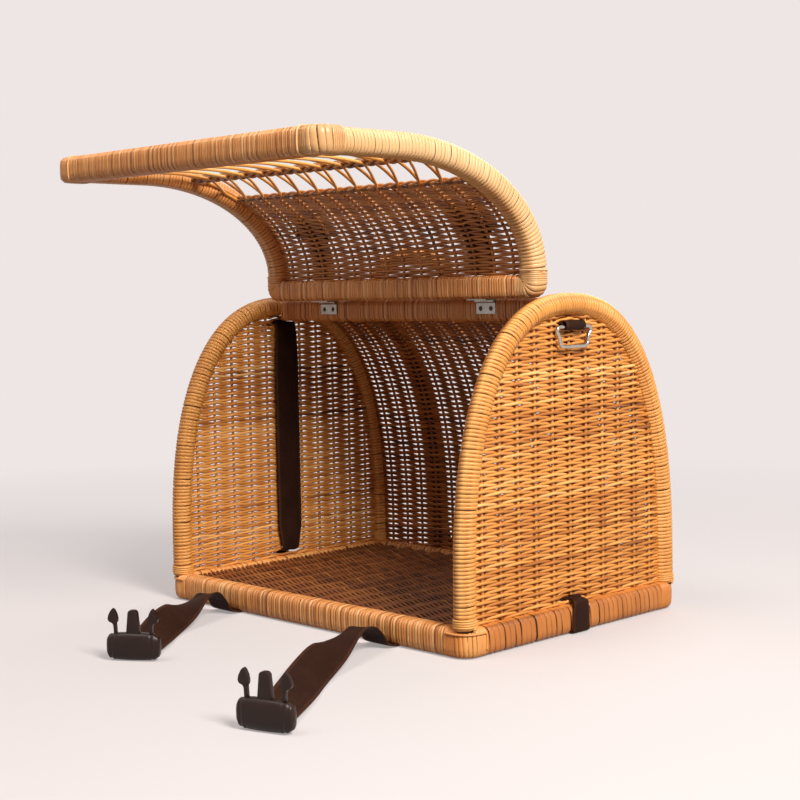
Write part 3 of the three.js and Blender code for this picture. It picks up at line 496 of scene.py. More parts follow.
def wrapped(name, points, side, halves, strip, square, finish, body, node, seed, wander=0.5):
    """A cane along a line, in its peel; the first of its half sizes lies along side."""
    made = grow(
        name, WRAPPING, guide_line(points), strip_width=strip[0], strip_thickness=strip[1],
        half_along_side=halves[0], half_across_side=halves[1], squareness=square, wander=wander,
        side=side, seed=float(seed), finish=finish,
    )
    return fit(made, body, node)


def arc(steps, sweep=math.tau):
    """Cosine and sine at even steps of a sweep, with both its ends."""
    return [(math.cos(sweep * i / steps), math.sin(sweep * i / steps)) for i in range(steps + 1)]


QUARTER = math.pi / 2


def elbow(start, corner, end, bend, lap):
    """A line that turns a rounded corner and laps past both its ends."""
    start, corner, end = Vector(start), Vector(corner), Vector(end)
    back, onward = (start - corner).normalized(), (end - corner).normalized()
    centre = corner + (back + onward) * bend
    line = [centre - onward * (bend * c) - back * (bend * s) for c, s in arc(12, QUARTER)]
    return [start + back * lap, *line, end + onward * lap]


def walk(points):
    """Lengths along a line of points, from its start."""
    return np.concatenate(([0], np.cumsum(np.linalg.norm(np.diff(points, axis=0), axis=1))))


def headings(line, closed=False):
    """The direction of a line at each of its points."""
    if closed:
        ahead = np.roll(line, -1, axis=0) - np.roll(line, 1, axis=0)
    else:
        ahead = np.gradient(line, axis=0)
    return ahead / np.linalg.norm(ahead, axis=1)[:, None]


def ring_faces(count, sides, closed=False, flip=False):
    """Faces between rings of points, with a cap at each open end; flip turns them over."""
    faces = []
    for i in range(count if closed else count - 1):
        j = (i + 1) % count
        for k in range(sides):
            m = (k + 1) % sides
            face = (i * sides + k, i * sides + m, j * sides + m, j * sides + k)
            faces.append((face[0], *face[:0:-1]) if flip else face)
    if not closed:
        first, last = tuple(range(sides)), tuple(range((count - 1) * sides, count * sides))
        faces += [first, last[::-1]] if flip else [first[::-1], last]
    return faces


def skin(vertices, sides, closed=False, flip=False, **marks):
    """A smooth skin over rings of points, with values to store for each point."""
    mesh = bpy.data.meshes.new("skin")
    faces = ring_faces(len(vertices) // sides, sides, closed, flip)
    mesh.from_pydata([tuple(v) for v in vertices], [], faces)
    for name, values in marks.items():
        mark(mesh, name, values)
    mesh.polygons.foreach_set("use_smooth", [True] * len(mesh.polygons))
    return mesh


def tube_mesh(points, radius, sides=8, closed=False, tone=0.5):
    """A round strand along a line, carried along it without twist."""
    line = np.array(points, dtype=float)
    tangents = headings(line, closed)
    steep = abs(tangents[0][2]) >= 0.9
    normal = np.cross(tangents[0], np.array((1.0, 0.0, 0.0) if steep else UP))
    vertices, grain = [], []
    for point, tangent, far in zip(line, tangents, walk(line)):
        normal = normal - tangent * normal.dot(tangent)
        normal /= np.linalg.norm(normal)
        other = np.cross(tangent, normal)
        for c, s in arc(sides)[:-1]:
            vertices.append(point + radius * (c * normal + s * other))
            grain.append((far, radius * c, tone))
    return skin(vertices, sides, closed, shade=[tone] * len(vertices), grain=grain)


def eased(points, step, soft=3):
    """Evenly spaced places on a line of columns, its corners eased over a few steps."""
    points = np.array(points, dtype=float)
    walked = walk(points[:, :3])
    at = np.linspace(0, walked[-1], max(int(walked[-1] / step), 2) + 1)
    line = np.column_stack([np.interp(at, walked, points[:, k]) for k in range(points.shape[1])])
    for _ in range(soft):
        line[1:-1] = line[:-2] * 0.25 + line[1:-1] * 0.5 + line[2:] * 0.25
    return line


def add_cane(made, points, radius, closed=False, tone=0.75):
    """Lays a round strand on a piece and makes it part of the piece."""
    both = bmesh.new()
    both.from_mesh(made.data)
    both.faces.ensure_lookup_table()
    before, slot = len(both.faces), both.faces[0].material_index
    both.from_mesh(tube_mesh(points, radius, closed=closed, tone=tone))
    both.faces.ensure_lookup_table()
    for face in both.faces[before:]:
        face.material_index = slot
    both.to_mesh(made.data)
    both.free()


rail_z = RAIL_HIGH / 2
rail_y = BASE_Y - RAIL_DEEP / 2
rail_x = BASE_X - RAIL_DEEP / 2
rail_halves = (RAIL_HIGH / 2, RAIL_DEEP / 2)
end_x, end_y = BASE_X - CORNER, BASE_Y - CORNER
for number, (end, sy) in enumerate(ENDS):
    line = [(x, BACK + sy * rail_y, rail_z) for x in (-end_x, end_x)]
    wrapped(
        f"base_{end}_wrap", line, UP, rail_halves, NARROW_PEEL, RAIL_SQUARE, TAN,
        "carrier", f"base_{end}_rail", seed=11 + number,
    )
for number, (side, sx) in enumerate(SIDES):
    line = [(sx * rail_x, BACK + y, rail_z) for y in (-end_y, end_y)]
    wrapped(
        f"base_{side}_wrap", line, UP, rail_halves, WIDE_PEEL, RAIL_SQUARE, ORANGE,
        "carrier", f"base_{side}_rail", seed=15 + number,
    )
    for end, sy in ENDS:
        line = elbow(
            (sx * end_x, BACK + sy * rail_y, rail_z),
            (sx * rail_x, BACK + sy * rail_y, rail_z),
            (sx * rail_x, BACK + sy * end_y, rail_z),
            CORNER_BEND,
            CORNER_LAP,
        )
        lapped = (RAIL_HIGH / 2, RAIL_DEEP / 2 + PROUD)
        made = wrapped(
            f"base_corner_wrap_{end}_{side}", line, UP, lapped, CORNER_PEEL, RAIL_SQUARE, ORANGE, "carrier",
            f"base_corner_{end}_{side}", seed=21 + 2 * number + sy, wander=0.3,
        )
        if end == "front":
            away = RAIL_DEEP / 2 + PROUD
            loop = elbow(
                (sx * end_x, BACK - rail_y - away, LAID_Z),
                (sx * (rail_x + away), BACK - rail_y - away, LAID_Z),
                (sx * (rail_x + away), BACK - end_y, LAID_Z),
                CORNER_BEND + away,
                0.0,
            )
            x, y, _ = loop[-1]
            loop += [(x, y + LAID_CANE, LAID_Z * share) for share in (0.92, 0.3)]
            add_cane(made, eased(loop, step=0.0010), LAID_CANE)


# Floor: one flat panel of plain weave, thin round cane over and under straight stakes.
# Its long weavers run from side rail to side rail and stay bare of stakes near their ends.
STRAND_SIDES = 6
STAKE_STEPS = 48


def strands(board, count, segments):
    """Round strands lying in one place; gives them, their numbers and their own coordinates."""
    sizes = {"Vertices": STRAND_SIDES, "Side Segments": segments, "Radius": 1.0, "Depth": 1.0}
    rod = board.node("GeometryNodeMeshCylinder", {"fill_type": "NGON"}, sizes)
    line = board.node("GeometryNodeMeshLine", {}, {"Count": count, "Offset": (0.0, 0.0, 0.0)})
    many = board.node("GeometryNodeInstanceOnPoints", {}, {"Points": line, "Instance": rod})
    number = board.node("GeometryNodeInputIndex", {}, {})
    many = store(board, many, "strand", number, "FLOAT", "INSTANCE")
    many = board.node("GeometryNodeRealizeInstances", {}, {0: many})
    x = spot(board)
    return many, recall(board, "strand"), x, x.also("Y"), x.also("Z")


def beside_guide(board, across, point, sideways, off):
    """A place to the side of a point of the guide, and off the face of the panel."""
    facing = board.vectors("CROSS_PRODUCT", across, point.also("Tangent"))
    return shifted(board, shifted(board, point, across, sideways), facing, off)


def sway(board, *where):
    """A smooth random value around nought."""
    return board.noise(board.vector(*where), 1.0, 1.0) - 0.5


def tone_of(board, strand, along, step, seed):
    """A tone for each strand that drifts a little along it."""
    return (board.noise(board.vector(along * 9.0, strand * step, seed), 1.0) - 0.5) * 2.6 + 0.5


def weaving_tree():
    """Plain weave on a guide: weavers lie across it, stakes run along it."""
    board, given, path, length = open_tree(
        "weaving",
        Float="half width, row pitch, weaver radius, stake pitch, stake radius, openness, wander, "
        "bare ends, slit low, slit high, slit half width, slit opening, seed",
        Int="bends",
        Vector="across",
        Material="finish",
    )
    across, pitch, seed = given["across"], given["stake pitch"], given["seed"]
    weaver, thick = given["weaver radius"], given["stake radius"]
    rows = (length / given["row pitch"]).maths("ROUND")
    room = (given["half width"] - given["bare ends"]) * 2.0
    columns = (room / pitch).maths("FLOOR")
    halves = (columns - 1.0) * 0.5

    weavers, row, x, y, z = strands(board, rows, given["bends"])
    low = (row + 0.5) * (length / rows)
    even = z * 2.0 * sample(board, path, low).also("Value")
    closer = ((even / pitch - halves) * math.tau).maths("SINE")
    sideways = even - closer * pitch * (0.6 / math.tau)
    turn = 1.0 - row.maths("FLOORED_MODULO", 2.0) * 2.0
    wave = ((sideways / pitch - halves) * math.pi).maths("COSINE") * turn
    bulge = wave * wave * wave
    deep = weaver + thick * 0.6
    wander = sway(board, sideways * 26.0, row * 0.11, seed)
    wander = wander + sway(board, sideways * 40.0, row * 7.7, seed) * 0.3

    def slit(at):
        """Rows stand apart where webbing passes between them."""
        off = low - at
        half = given["slit half width"]
        ends = (abs(sideways), half * 0.8, half * 1.5, 1.0, 0.0)
        window = board.ranged(*ends, interpolation_type="SMOOTHSTEP")
        fade = (off * off * -9000.0).maths("EXPONENT")
        return off / (abs(off) + 0.0006) * fade * window * given["slit opening"]

    rise = bulge * given["openness"] + wander * given["wander"]
    rise = rise + slit(given["slit low"]) + slit(given["slit high"])
    point = sample(board, path, low + rise + x * weaver)
    place = beside_guide(board, across, point, sideways, bulge * deep + y * weaver)
    weavers = moved(board, weavers, place)
    # Painted shade: where a weaver dips behind a stake, its face turned into that pocket is darkened, as
    # the shade in the recess.
    painted_recess_shade = (bulge * y * -1.0).maths("MAXIMUM", 0.0)
    tone = tone_of(board, row, sideways, 3.71, seed) - painted_recess_shade * 1.5
    weavers = toned(board, weavers, tone.maths("MAXIMUM", -0.45), sideways, x * weaver, row)

    stakes, stake, x, y, z = strands(board, columns, STAKE_STEPS)
    along = (z + 0.5) * length
    sideways = (stake - halves) * pitch
    sideways = sideways + sway(board, along * 14.0, stake * 3.3, seed) * given["wander"]
    point = sample(board, path, along)
    place = beside_guide(board, across, point, sideways + x * thick, y * thick)
    stakes = store(board, stakes, "beyond", abs(sideways) - point.also("Value"))
    stakes = toned(board, stakes, tone_of(board, stake, along, 5.3, seed), along, x * thick, stake)
    stakes = moved(board, stakes, place)
    limit = {0: recall(board, "beyond"), 1: 0.0}
    outside = board.node("FunctionNodeCompare", {"operation": "GREATER_THAN"}, limit)
    stakes = board.node("GeometryNodeDeleteGeometry", {}, {0: stakes, "Selection": outside})
    return close_tree(board, [weavers, stakes], given["finish"])


WEAVING = weaving_tree()
ROW_PITCH = 0.00280
WEAVER = 0.0015
STAKE_PITCH = 0.0238
STAKE = 0.0016
NO_SLITS = (-1.0, -1.0, 0.016, 0.0)  # two heights off the panel, half width and opening


def woven(
    name, points, reach, across, finish, body, node, seed, pitch=STAKE_PITCH, weaver=WEAVER,
    openness=0.00115, wander=0.0010, bends=7, bare=0.0, slits=NO_SLITS,
):
    """A panel of plain weave along a line, as wide to both sides as reach says."""
    widest = max(reach)
    low, high, half, opening = slits
    made = grow(
        name, WEAVING, guide_line(points, reach), across=across, half_width=widest,
        row_pitch=ROW_PITCH, weaver_radius=weaver, stake_pitch=pitch, stake_radius=STAKE,
        openness=openness, wander=wander, bare_ends=bare, bends=int(2 * widest / pitch * bends),
        slit_low=low, slit_high=high, slit_half_width=half, slit_opening=opening,
        seed=float(seed), finish=finish,
    )
    return fit(made, body, node)


FLOOR_CANE = rattan("floor cane", 0.45, "5A2E0E", "84491C", "AC6E36")
ALONG_X, ALONG_Y = (1.0, 0.0, 0.0), (0.0, 1.0, 0.0)
FLOOR_Z = 0.020
floor_y = BASE_Y - RAIL_DEEP
floor_line = [(0, BACK - floor_y, FLOOR_Z), (0, BACK + floor_y, FLOOR_Z)]
woven(
    "floor_weave", floor_line, [rail_x] * 2, ALONG_X, FLOOR_CANE,
    "carrier", "floor_panel", seed=3, wander=0.0022, bends=6, bare=0.02,
)


# Side arches: two canes bent over the ends of the base, wrapped in narrow round-backed peel.
# Inside each is a flat panel of plain weave, with a slit near the top and the bottom for webbing.
GOLD = rattan("golden cane", 0.38, "B46C2A", "E29C4C", "F7C880")
ARCH_X = 0.199
ARCH_RADIUS = 0.010
ARCH_PEEL = (0.0034, 0.0019)
ROUND = 2.0
LEG_Y, ARCH_SPRING, ARCH_TOP, ARCH_POWER = 0.141, 0.055, 0.298, 2.4
ARCH_FOOT = 0.0263
FOOT_LAP = 0.003  # arch peel runs down behind the corner peel
FOOT_TURNS, FOOT_CANE, FOOT_REACH = 4, 0.0010, 0.0099


def arch_half(offset=0.0, steps=28):
    """Half of an arch from its foot to its top in (y, z), moved outwards by an offset."""
    rise = ARCH_TOP - ARCH_SPRING
    points = [(LEG_Y + offset, ARCH_FOOT)]
    for cosine, sine in arc(steps, QUARTER):
        c, s = max(cosine, 0.0) ** (2 / ARCH_POWER), sine ** (2 / ARCH_POWER)
        ny, nz = c ** (ARCH_POWER - 1) / LEG_Y, s ** (ARCH_POWER - 1) / rise
        size = math.hypot(ny, nz)
        points.append((LEG_Y * c + offset * ny / size, ARCH_SPRING + rise * s + offset * nz / size))
    return points


PANEL_EDGE = -0.006  # panel let into the arch by the rest of its radius
PANEL_FOOT = ARCH_FOOT - 0.001
PANEL_PITCH = 0.02376
SLIT_LOW, SLIT_HIGH = 0.0314, 0.2816
SLIT_HALF, SLIT_OPEN = 0.013, 0.0030
edge = np.array(arch_half(PANEL_EDGE))
heights = np.linspace(PANEL_FOOT, edge[:, 1].max(), 60)
reach = np.interp(heights, edge[:, 1], edge[:, 0])
half_arch = arch_half()
whole_arch = half_arch + [(-y, z) for y, z in reversed(half_arch[:-1])]
for number, (side, sx) in enumerate(SIDES):
    line = [(sx * ARCH_X, BACK - y, z - FOOT_LAP * (z == ARCH_FOOT)) for y, z in whole_arch]
    arch = wrapped(
        f"arch_wrap_{side}", line, ALONG_X, (ARCH_RADIUS,) * 2, ARCH_PEEL, ROUND, GOLD,
        "carrier", f"arch_{side}", seed=31 + number, wander=0.55,
    )
    for sy in (-1, 1):
        turns = []
        for step, (c, s) in enumerate(arc(FOOT_TURNS * 24, FOOT_TURNS * math.tau)):
            z = ARCH_FOOT + FOOT_CANE * (step / 12 - 0.5)
            turns.append((sx * (ARCH_X + FOOT_REACH * c), BACK + sy * LEG_Y + FOOT_REACH * s, z))
        add_cane(arch, turns, FOOT_CANE)
    line = [(sx * ARCH_X, BACK, z) for z in heights]
    woven(
        f"side_weave_{side}", line, reach, ALONG_Y, GOLD,
        "carrier", f"side_panel_{side}", seed=5 + number, pitch=PANEL_PITCH,
        slits=(SLIT_LOW - PANEL_FOOT, SLIT_HIGH - PANEL_FOOT, SLIT_HALF, SLIT_OPEN),
    )


# Ridge and back: a square wrapped rail between the arch tops, and one curved panel of weave
# that follows the arches from the ridge down to the back rail.
RIDGE_Z = 0.293
RIDGE_SQUARE = 8.0
FULLER = 0.0107  # ridge and hinge rails over their peel, so that they close up
INNER_X = 0.189
line = [(-INNER_X, BACK, RIDGE_Z), (INNER_X, BACK, RIDGE_Z)]
wrapped(
    "ridge_wrap", line, UP, (FULLER, FULLER), NARROW_PEEL, RIDGE_SQUARE, TAN,
    "carrier", "ridge_rail", seed=41,
)
WOVEN = rattan("woven cane", 0.42, "7E4416", "A8642A", "CE8E48")
BACK_EDGE = 0.0075  # back panel's upper edge behind the ridge's middle, under its peel
INTO_RAIL = 0.006  # weavers run on behind the wrapping of the rails
BACK_PITCH = 0.02359
back_line = [(0.0, BACK + LEG_Y, ARCH_FOOT - FOOT_LAP)]
back_line += [(0.0, BACK + y, z) for y, z in half_arch if y > BACK_EDGE]
woven(
    "back_weave", back_line, [INNER_X + INTO_RAIL] * len(back_line), ALONG_X, WOVEN, "carrier",
    "back_panel", seed=9, pitch=BACK_PITCH, openness=-0.0006, wander=0.0012, bends=6,
)


# Carry handle: one bent cane wrapped like the rails, its feet lying along the ridge.
# The end of the peel is coiled over the cut cane at each foot.
HANDLE_Z = 0.3113
HANDLE_RADIUS = 0.008
HANDLE_BACK = 0.002
HANDLE_HALF = 0.048
HANDLE_BEND = 0.012
HANDLE_FOOT = 0.026
HANDLE_RISE = 0.036
HANDLE_PEEL = (0.0034, 0.0014)
END_STEPS, END_TURNS, END_CANE = 80, 4, 0.00105
half_handle = [(-HANDLE_HALF - HANDLE_BEND - HANDLE_FOOT, HANDLE_Z)]
for c, s in arc(8, QUARTER):
    x = -HANDLE_HALF - HANDLE_BEND + HANDLE_BEND * s
    half_handle.append((x, HANDLE_Z + HANDLE_BEND * (1 - c)))
for c, s in arc(16, QUARTER)[1:]:
    z = HANDLE_Z + HANDLE_BEND + (HANDLE_RISE - HANDLE_BEND) * s
    half_handle.append((-HANDLE_HALF * c, z))
handle = half_handle + [(-x, z) for x, z in reversed(half_handle[:-1])]
made = wrapped(
    "handle_wrap", [(x, BACK + HANDLE_BACK, z) for x, z in handle], ALONG_Y, (HANDLE_RADIUS,) * 2,
    HANDLE_PEEL, ROUND, TAN, "carrier", "carry_handle", seed=43, wander=0.4,
)
for x, z in (handle[0], handle[-1]):
    coil = []
    for step, (c, s) in enumerate(arc(END_STEPS, END_TURNS * math.tau)):
        wide = (HANDLE_RADIUS - END_CANE) * (1 - step / (END_STEPS + 1))
        coil.append((x, BACK + HANDLE_BACK + wide * c, z + wide * s))
    add_cane(made, coil, END_CANE)


# Lid frame: square wrapped rails at the hinge and at the front, bent sides of peel, straw-pale on
# the right and tan on the left as painted light and shade, and corners where the peel turns from one
# rail to the other, bound with hoops of thin cane.
AXIS_Y, AXIS_Z = -0.012, 0.302  # hinge axis, measured from the middle of the base
LID_X = 0.177
LID_CORNER = 0.022
LID_HINGE_Y, LID_FRONT_Z = -0.024, 0.040
LID_FRONT, LID_FRONT_CORNER = 0.012, 0.013  # half of the front rail and of its corners
LID_SIDE = 0.0112  # bent sides over their peel
LID_SQUARE, LID_SIDE_SQUARE = 4.6, 2.6
LID_SIDE_PEEL, LID_CORNER_PEEL = (0.0038, 0.0013), (0.0019, 0.0012)
LID_LEAD, LID_SHOULDER = 0.004, 0.169
LID_BEND = 0.0045
HOOP_CANE = 0.0009
HOOP_SIDE = 0.0110  # hoop on a bent side, kept clear of the arch beside it
JOINT = LID_CORNER / 2 + 0.0003
FRONT_JOINT = LID_FRONT_CORNER + 0.0003
STRAW = rattan("straw peel", 0.34, "B87C3E", "DEAA70", "F0CE9E")


def swung(y, z):
    """A place on the shut lid, measured from the middle of the base, as it lies when open."""
    return BACK + AXIS_Y + (z - AXIS_Z), AXIS_Z - (y - AXIS_Y)


def lid_curve(offset=0.0, steps=32):
    """The side of the shut lid in (y, z), from the hinge rail to the front rail."""
    start = LID_HINGE_Y - JOINT
    a, b = LEG_Y + start - LID_LEAD, LID_SHOULDER
    points = [(start, RIDGE_Z + offset)]
    for c, s in arc(steps, QUARTER):
        ny, nz = -s / a, c / b
        size = math.hypot(ny, nz)
        y = start - LID_LEAD - a * s + offset * ny / size
        points.append((y, RIDGE_Z - b * (1 - c) + offset * nz / size))
    return [*points, (-LEG_Y - offset, LID_FRONT_Z + FRONT_JOINT)]


def hoop(centre, way, side, half, power):
    """A closed line round a wrapped rail, square with rounded corners."""
    side = Vector(side)
    other = Vector(way).cross(side).normalized()
    line = []
    for c, s in arc(40)[:-1]:
        size = half * (abs(c) ** power + abs(s) ** power) ** (-1 / power)
        line.append(Vector(centre) + side * (c * size) + other * (s * size))
    return line


rail_end = LID_X - JOINT
for name, y, z, half, square, width, seed in (
    ("hinge", LID_HINGE_Y, RIDGE_Z, FULLER, RIDGE_SQUARE, 0.0030, 51),
    ("front", -LEG_Y, LID_FRONT_Z, LID_FRONT, LID_SQUARE, 0.0023, 52),
):
    line = [(x, *swung(y, z)) for x in (-rail_end, rail_end)]
    wrapped(
        f"lid_{name}_wrap", line, UP, (half, half), (width, 0.0012), square, TAN,
        "lid", f"lid_{name}_rail", seed=seed,
    )
for number, (side, sx) in enumerate(SIDES):
    line = [(sx * LID_X, *swung(y, z)) for y, z in lid_curve()]
    # Painted light and shade: one cane shown as two, the right side and its corners in pale straw peel as
    # lit, the left in darker tan peel as shaded.
    peel = STRAW if sx > 0 else TAN
    wrapped(
        f"lid_side_wrap_{side}", line, ALONG_X, (LID_SIDE,) * 2, LID_SIDE_PEEL, LID_SIDE_SQUARE, peel,
        "lid", f"lid_side_rail_{side}", seed=55 + number, wander=0.35,
    )
    for name, y, z, dy, dz, upright_way, half in (
        ("hinge", LID_HINGE_Y, RIDGE_Z, -JOINT, 0, ALONG_Y, FULLER),
        ("front", -LEG_Y, LID_FRONT_Z, 0, FRONT_JOINT, UP, LID_FRONT),
    ):
        turn, end = swung(y, z), swung(y + dy, z + dz)
        places = ((sx * rail_end, *turn), (sx * LID_X, *turn), (sx * LID_X, *end))
        line = elbow(*places, LID_BEND, CORNER_LAP)
        made = wrapped(
            f"lid_corner_wrap_{name}_{side}", line, upright_way, (half, half), LID_CORNER_PEEL, LID_SQUARE,
            peel, "lid", f"lid_corner_{name}_{side}", seed=66 + 2 * number, wander=0.3,
        )
        way = (line[-1] - line[-2]).normalized()
        bound = hoop(line[-1] + way * HOOP_CANE, way, ALONG_X, HOOP_SIDE, power=3.0)
        add_cane(made, bound, HOOP_CANE, closed=True)
        if name == "front":
            add_cane(made, hoop(line[0], ALONG_X, UP, half, power=4.0), HOOP_CANE, closed=True)


# Lid panel: plain weave from the hinge rail up to the shoulder, then open stakes in pairs that
# lean and spread, with twined cane along both edges and in a band across them.
def stretch(points, begin, end):
    """The part of a line in (y, z) between two lengths along it, and the whole line's length."""
    points = np.array(points)
    walked = walk(points)
    inner = walked[(walked > begin) & (walked < end)]
    at = np.concatenate(([begin], inner, [end]))
    return np.column_stack([np.interp(at, walked, points[:, k]) for k in (0, 1)]), walked[-1]


LID_CANE = rattan("lid cane", 0.42, "965824", "C88444", "E8B070")
LID_WEAVE = 0.108
LID_PANEL_X = 0.1657
LID_PITCH = 0.02367
lid_line, lid_length = stretch(lid_curve(), 0.0, LID_WEAVE)
lid_line = [(lid_line[0][0] + INTO_RAIL / 2, lid_line[0][1]), *lid_line]
lid_line = [(0.0, *swung(y, z)) for y, z in lid_line]
woven(
    "lid_weave", lid_line, [LID_PANEL_X + INTO_RAIL] * len(lid_line), ALONG_X, LID_CANE,
    "lid", "lid_panel", seed=13, pitch=LID_PITCH, weaver=0.0014, openness=-0.0004,
    wander=0.0013,
)
TWINE_STEPS = 360


def lattice_tree():
    """Pairs of leaning stakes between two edges, held by rows of twined cane."""
    board, given, path, length = open_tree(
        "lattice",
        Float="half width, bays, stake radius, steep lean, shallow lean, gather, twine radius, "
        "row gap, band, edge, twists, seed",
        Vector="across",
        Material="finish",
    )
    across, seed, bays = given["across"], given["seed"], given["bays"]
    thick, band, edge, gap = given["stake radius"], given["band"], given["edge"], given["row gap"]
    bay = given["half width"] * 2.0 / bays

    stakes, stake, x, y, z = strands(board, bays * 2.0, 36)
    number = (stake * 0.5).maths("FLOOR")
    way = stake.maths("FLOORED_MODULO", 2.0) * 2.0 - 1.0
    along = (z + 0.5) * length
    loose = sway(board, along * 18.0, stake * 3.3, seed) * 0.0030
    below = (along / band).maths("MINIMUM", 1.0)
    above = ((along - band) / (length - band)).maths("MAXIMUM", 0.0)
    half_apart = (given["steep lean"] - given["shallow lean"]) * 0.5
    lean = (given["shallow lean"] + half_apart + way * half_apart) * below
    lean = lean - way * given["gather"] * above
    sideways = (number - bays * 0.5 - 0.5) * bay + lean * bay + loose
    limit = given["half width"] - thick
    sideways = sideways.maths("MINIMUM", limit).maths("MAXIMUM", limit * -1.0)
    point = sample(board, path, along)
    place = beside_guide(board, across, point, sideways + x * thick, (y + way * 0.8) * thick)
    stakes = moved(board, stakes, place)
    stakes = toned(board, stakes, tone_of(board, stake, along, 5.3, seed), along, x * thick, stake)

    twines, strand, x, y, z = strands(board, 10, TWINE_STEPS)
    row = (strand * 0.5).maths("FLOOR")
    other = strand.maths("FLOORED_MODULO", 2.0)
    lower = row.maths("LESS_THAN", 1.5)
    upper = row.maths("GREATER_THAN", 3.5)
    within = 1.0 - lower - upper
    middle = lower * (edge + row * gap) + within * (band + (row - 2.5) * gap)
    middle = middle + upper * (length - edge)
    sideways = z * 2.0 * (given["half width"] + 0.003)
    hand = 1.0 - row.maths("FLOORED_MODULO", 2.0) * 2.0
    angle = (sideways / bay * given["twists"] * 2.0 + other) * math.pi * hand
    fine = given["twine radius"] * (1.0 - lower * 0.3)
    along = middle + angle.maths("COSINE") * fine * 0.75
    point = sample(board, path, along + x * fine)
    deep = angle.maths("SINE") * (fine * 1.2) + y * fine
    twines = moved(board, twines, beside_guide(board, across, point, sideways, deep))
    tone = tone_of(board, strand, sideways, 2.9, seed) * 0.6 - 0.38
    twines = toned(board, twines, tone, sideways, x * fine, strand)
    return close_tree(board, [stakes, twines], given["finish"])


lattice_line, _ = stretch(lid_curve(), LID_WEAVE, lid_length)
lattice_line = [(0.0, *swung(y, z)) for y, z in lattice_line]
lattice = grow(
    "lid_lattice_cane", lattice_tree(), guide_line(lattice_line, [0.0] * len(lattice_line)),
    across=ALONG_X, half_width=LID_PANEL_X, bays=12.0, stake_radius=0.0016, steep_lean=1.5,
    shallow_lean=0.8, gather=0.35, twine_radius=0.0017, row_gap=0.0030, band=0.060, edge=0.0016,
    twists=1.0, seed=17.0, finish=GOLD,
)
fit(lattice, "lid", "lid_lattice")


# Handle bindings: a few close turns of thin tan cane over the ridge and each foot of the handle,
# pulled tight, so they run straight between the square rail and the round foot.
BINDING_X = 0.073
BINDING_TURNS, TURN_STEPS = 8, 48
BINDING_CANE = 0.0009
RIDGE_HALF, RIDGE_ROUND = 0.010, 0.005
flat = RIDGE_HALF - RIDGE_ROUND
balls = [(y, RIDGE_Z + z, RIDGE_ROUND) for y in (-flat, flat) for z in (-flat, flat)]
balls.append((HANDLE_BACK, HANDLE_Z, HANDLE_RADIUS))
for side, sx in SIDES:
    line = []
    for step, (c, s) in enumerate(arc(BINDING_TURNS * TURN_STEPS, BINDING_TURNS * math.tau)):
        y, z, r = max(balls, key=lambda ball: ball[0] * c + ball[1] * s + ball[2])
        r += BINDING_CANE
        advance = (step / TURN_STEPS - BINDING_TURNS / 2) * BINDING_CANE * 2
        line.append((sx * BINDING_X + advance, BACK + y + r * c, z + r * s))
    made = put(f"handle_binding_cane_{side}", tube_mesh(line, BINDING_CANE), TAN)
    fit(made, "carrier", f"handle_binding_{side}")


# Hinges: two small butt hinges of bright steel between the ridge and the lid's hinge rail.
# Their leaves, pins and screws are the turned and stamped solids themselves.
steel = Finish("hinge steel")
brushed = steel.noise(steel.vectors("MULTIPLY", steel.place(), (240.0, 2600.0, 2600.0)), 1.0)
dull = steel.noise(steel.place(), 160.0, 3.0)
STEEL = steel.feed(
    Base_Color=steel.mix(dull, "77726C", "ADA79F"), Metallic=1.0, Roughness=0.24 + brushed * 0.2,
    Normal=steel.bump(0.15, 0.0002, brushed),
)
dark = Finish("blackened screws")
soot = dark.noise(dark.place(), 700.0, 3.0)
DARK_STEEL = dark.feed(
    Base_Color=dark.mix(soot, "1E1A17", "4A433C"), Metallic=0.9, Roughness=0.35 + soot * 0.3
)
for node_name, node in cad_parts.items():
    if node_name.startswith("hinge_"):
        node.data.materials.clear()
        node.data.materials.append(DARK_STEEL if "screw" in node_name else STEEL)


# Sling: one length of brown webbing through the side panels and under the base. At each end it is
# folded over the bar of a wire ring and drawn together where it passes through the weave.
RIB, COLUMN = 0.0019, 0.0017  # spacing of the webbing's ribs and of the columns beside them
SELVEDGE = 0.0132  # from the middle of the webbing to its thicker edge
STRAP_WIDTH, STRAP_THICK = 0.032, 0.0016

cloth = Finish("brown webbing")
weft = cloth.node("ShaderNodeAttribute", {"attribute_name": "weft"}, {}, "Vector")
along = cloth.node("ShaderNodeSeparateXYZ", {}, {0: weft})
column = along.also("Y") / COLUMN
odd = column.maths("FLOOR").maths("FLOORED_MODULO", 2.0)
ribs = ((along / RIB + odd * 0.5) * math.tau).maths("SINE") * 0.5 + 0.5
ends = (column.maths("FRACT") * math.pi).maths("SINE")
# Both edges are raised in the bump and also painted lighter: a real thicker selvedge with a painted
# highlight on it.
selvedge_and_highlight = (abs(along.also("Y")) - SELVEDGE).maths("GREATER_THAN", 0.0)
relief = ribs * 0.65 + ends * 0.35 + selvedge_and_highlight * 0.5
worn = cloth.noise(cloth.place(), 46.0, 4.0)
stops = [(0.0, "140904"), (0.55, "28140B"), (1.0, "46291D")]
WEBBING = cloth.feed(
    Base_Color=cloth.node("ShaderNodeValToRGB", {"stops": stops}, {0: relief * 0.6 + worn * 0.5 - 0.05}),
    Roughness=0.58 + worn * 0.2,
    Normal=cloth.bump(0.6, 0.0003, relief),
    Specular_IOR_Level=0.12,
)


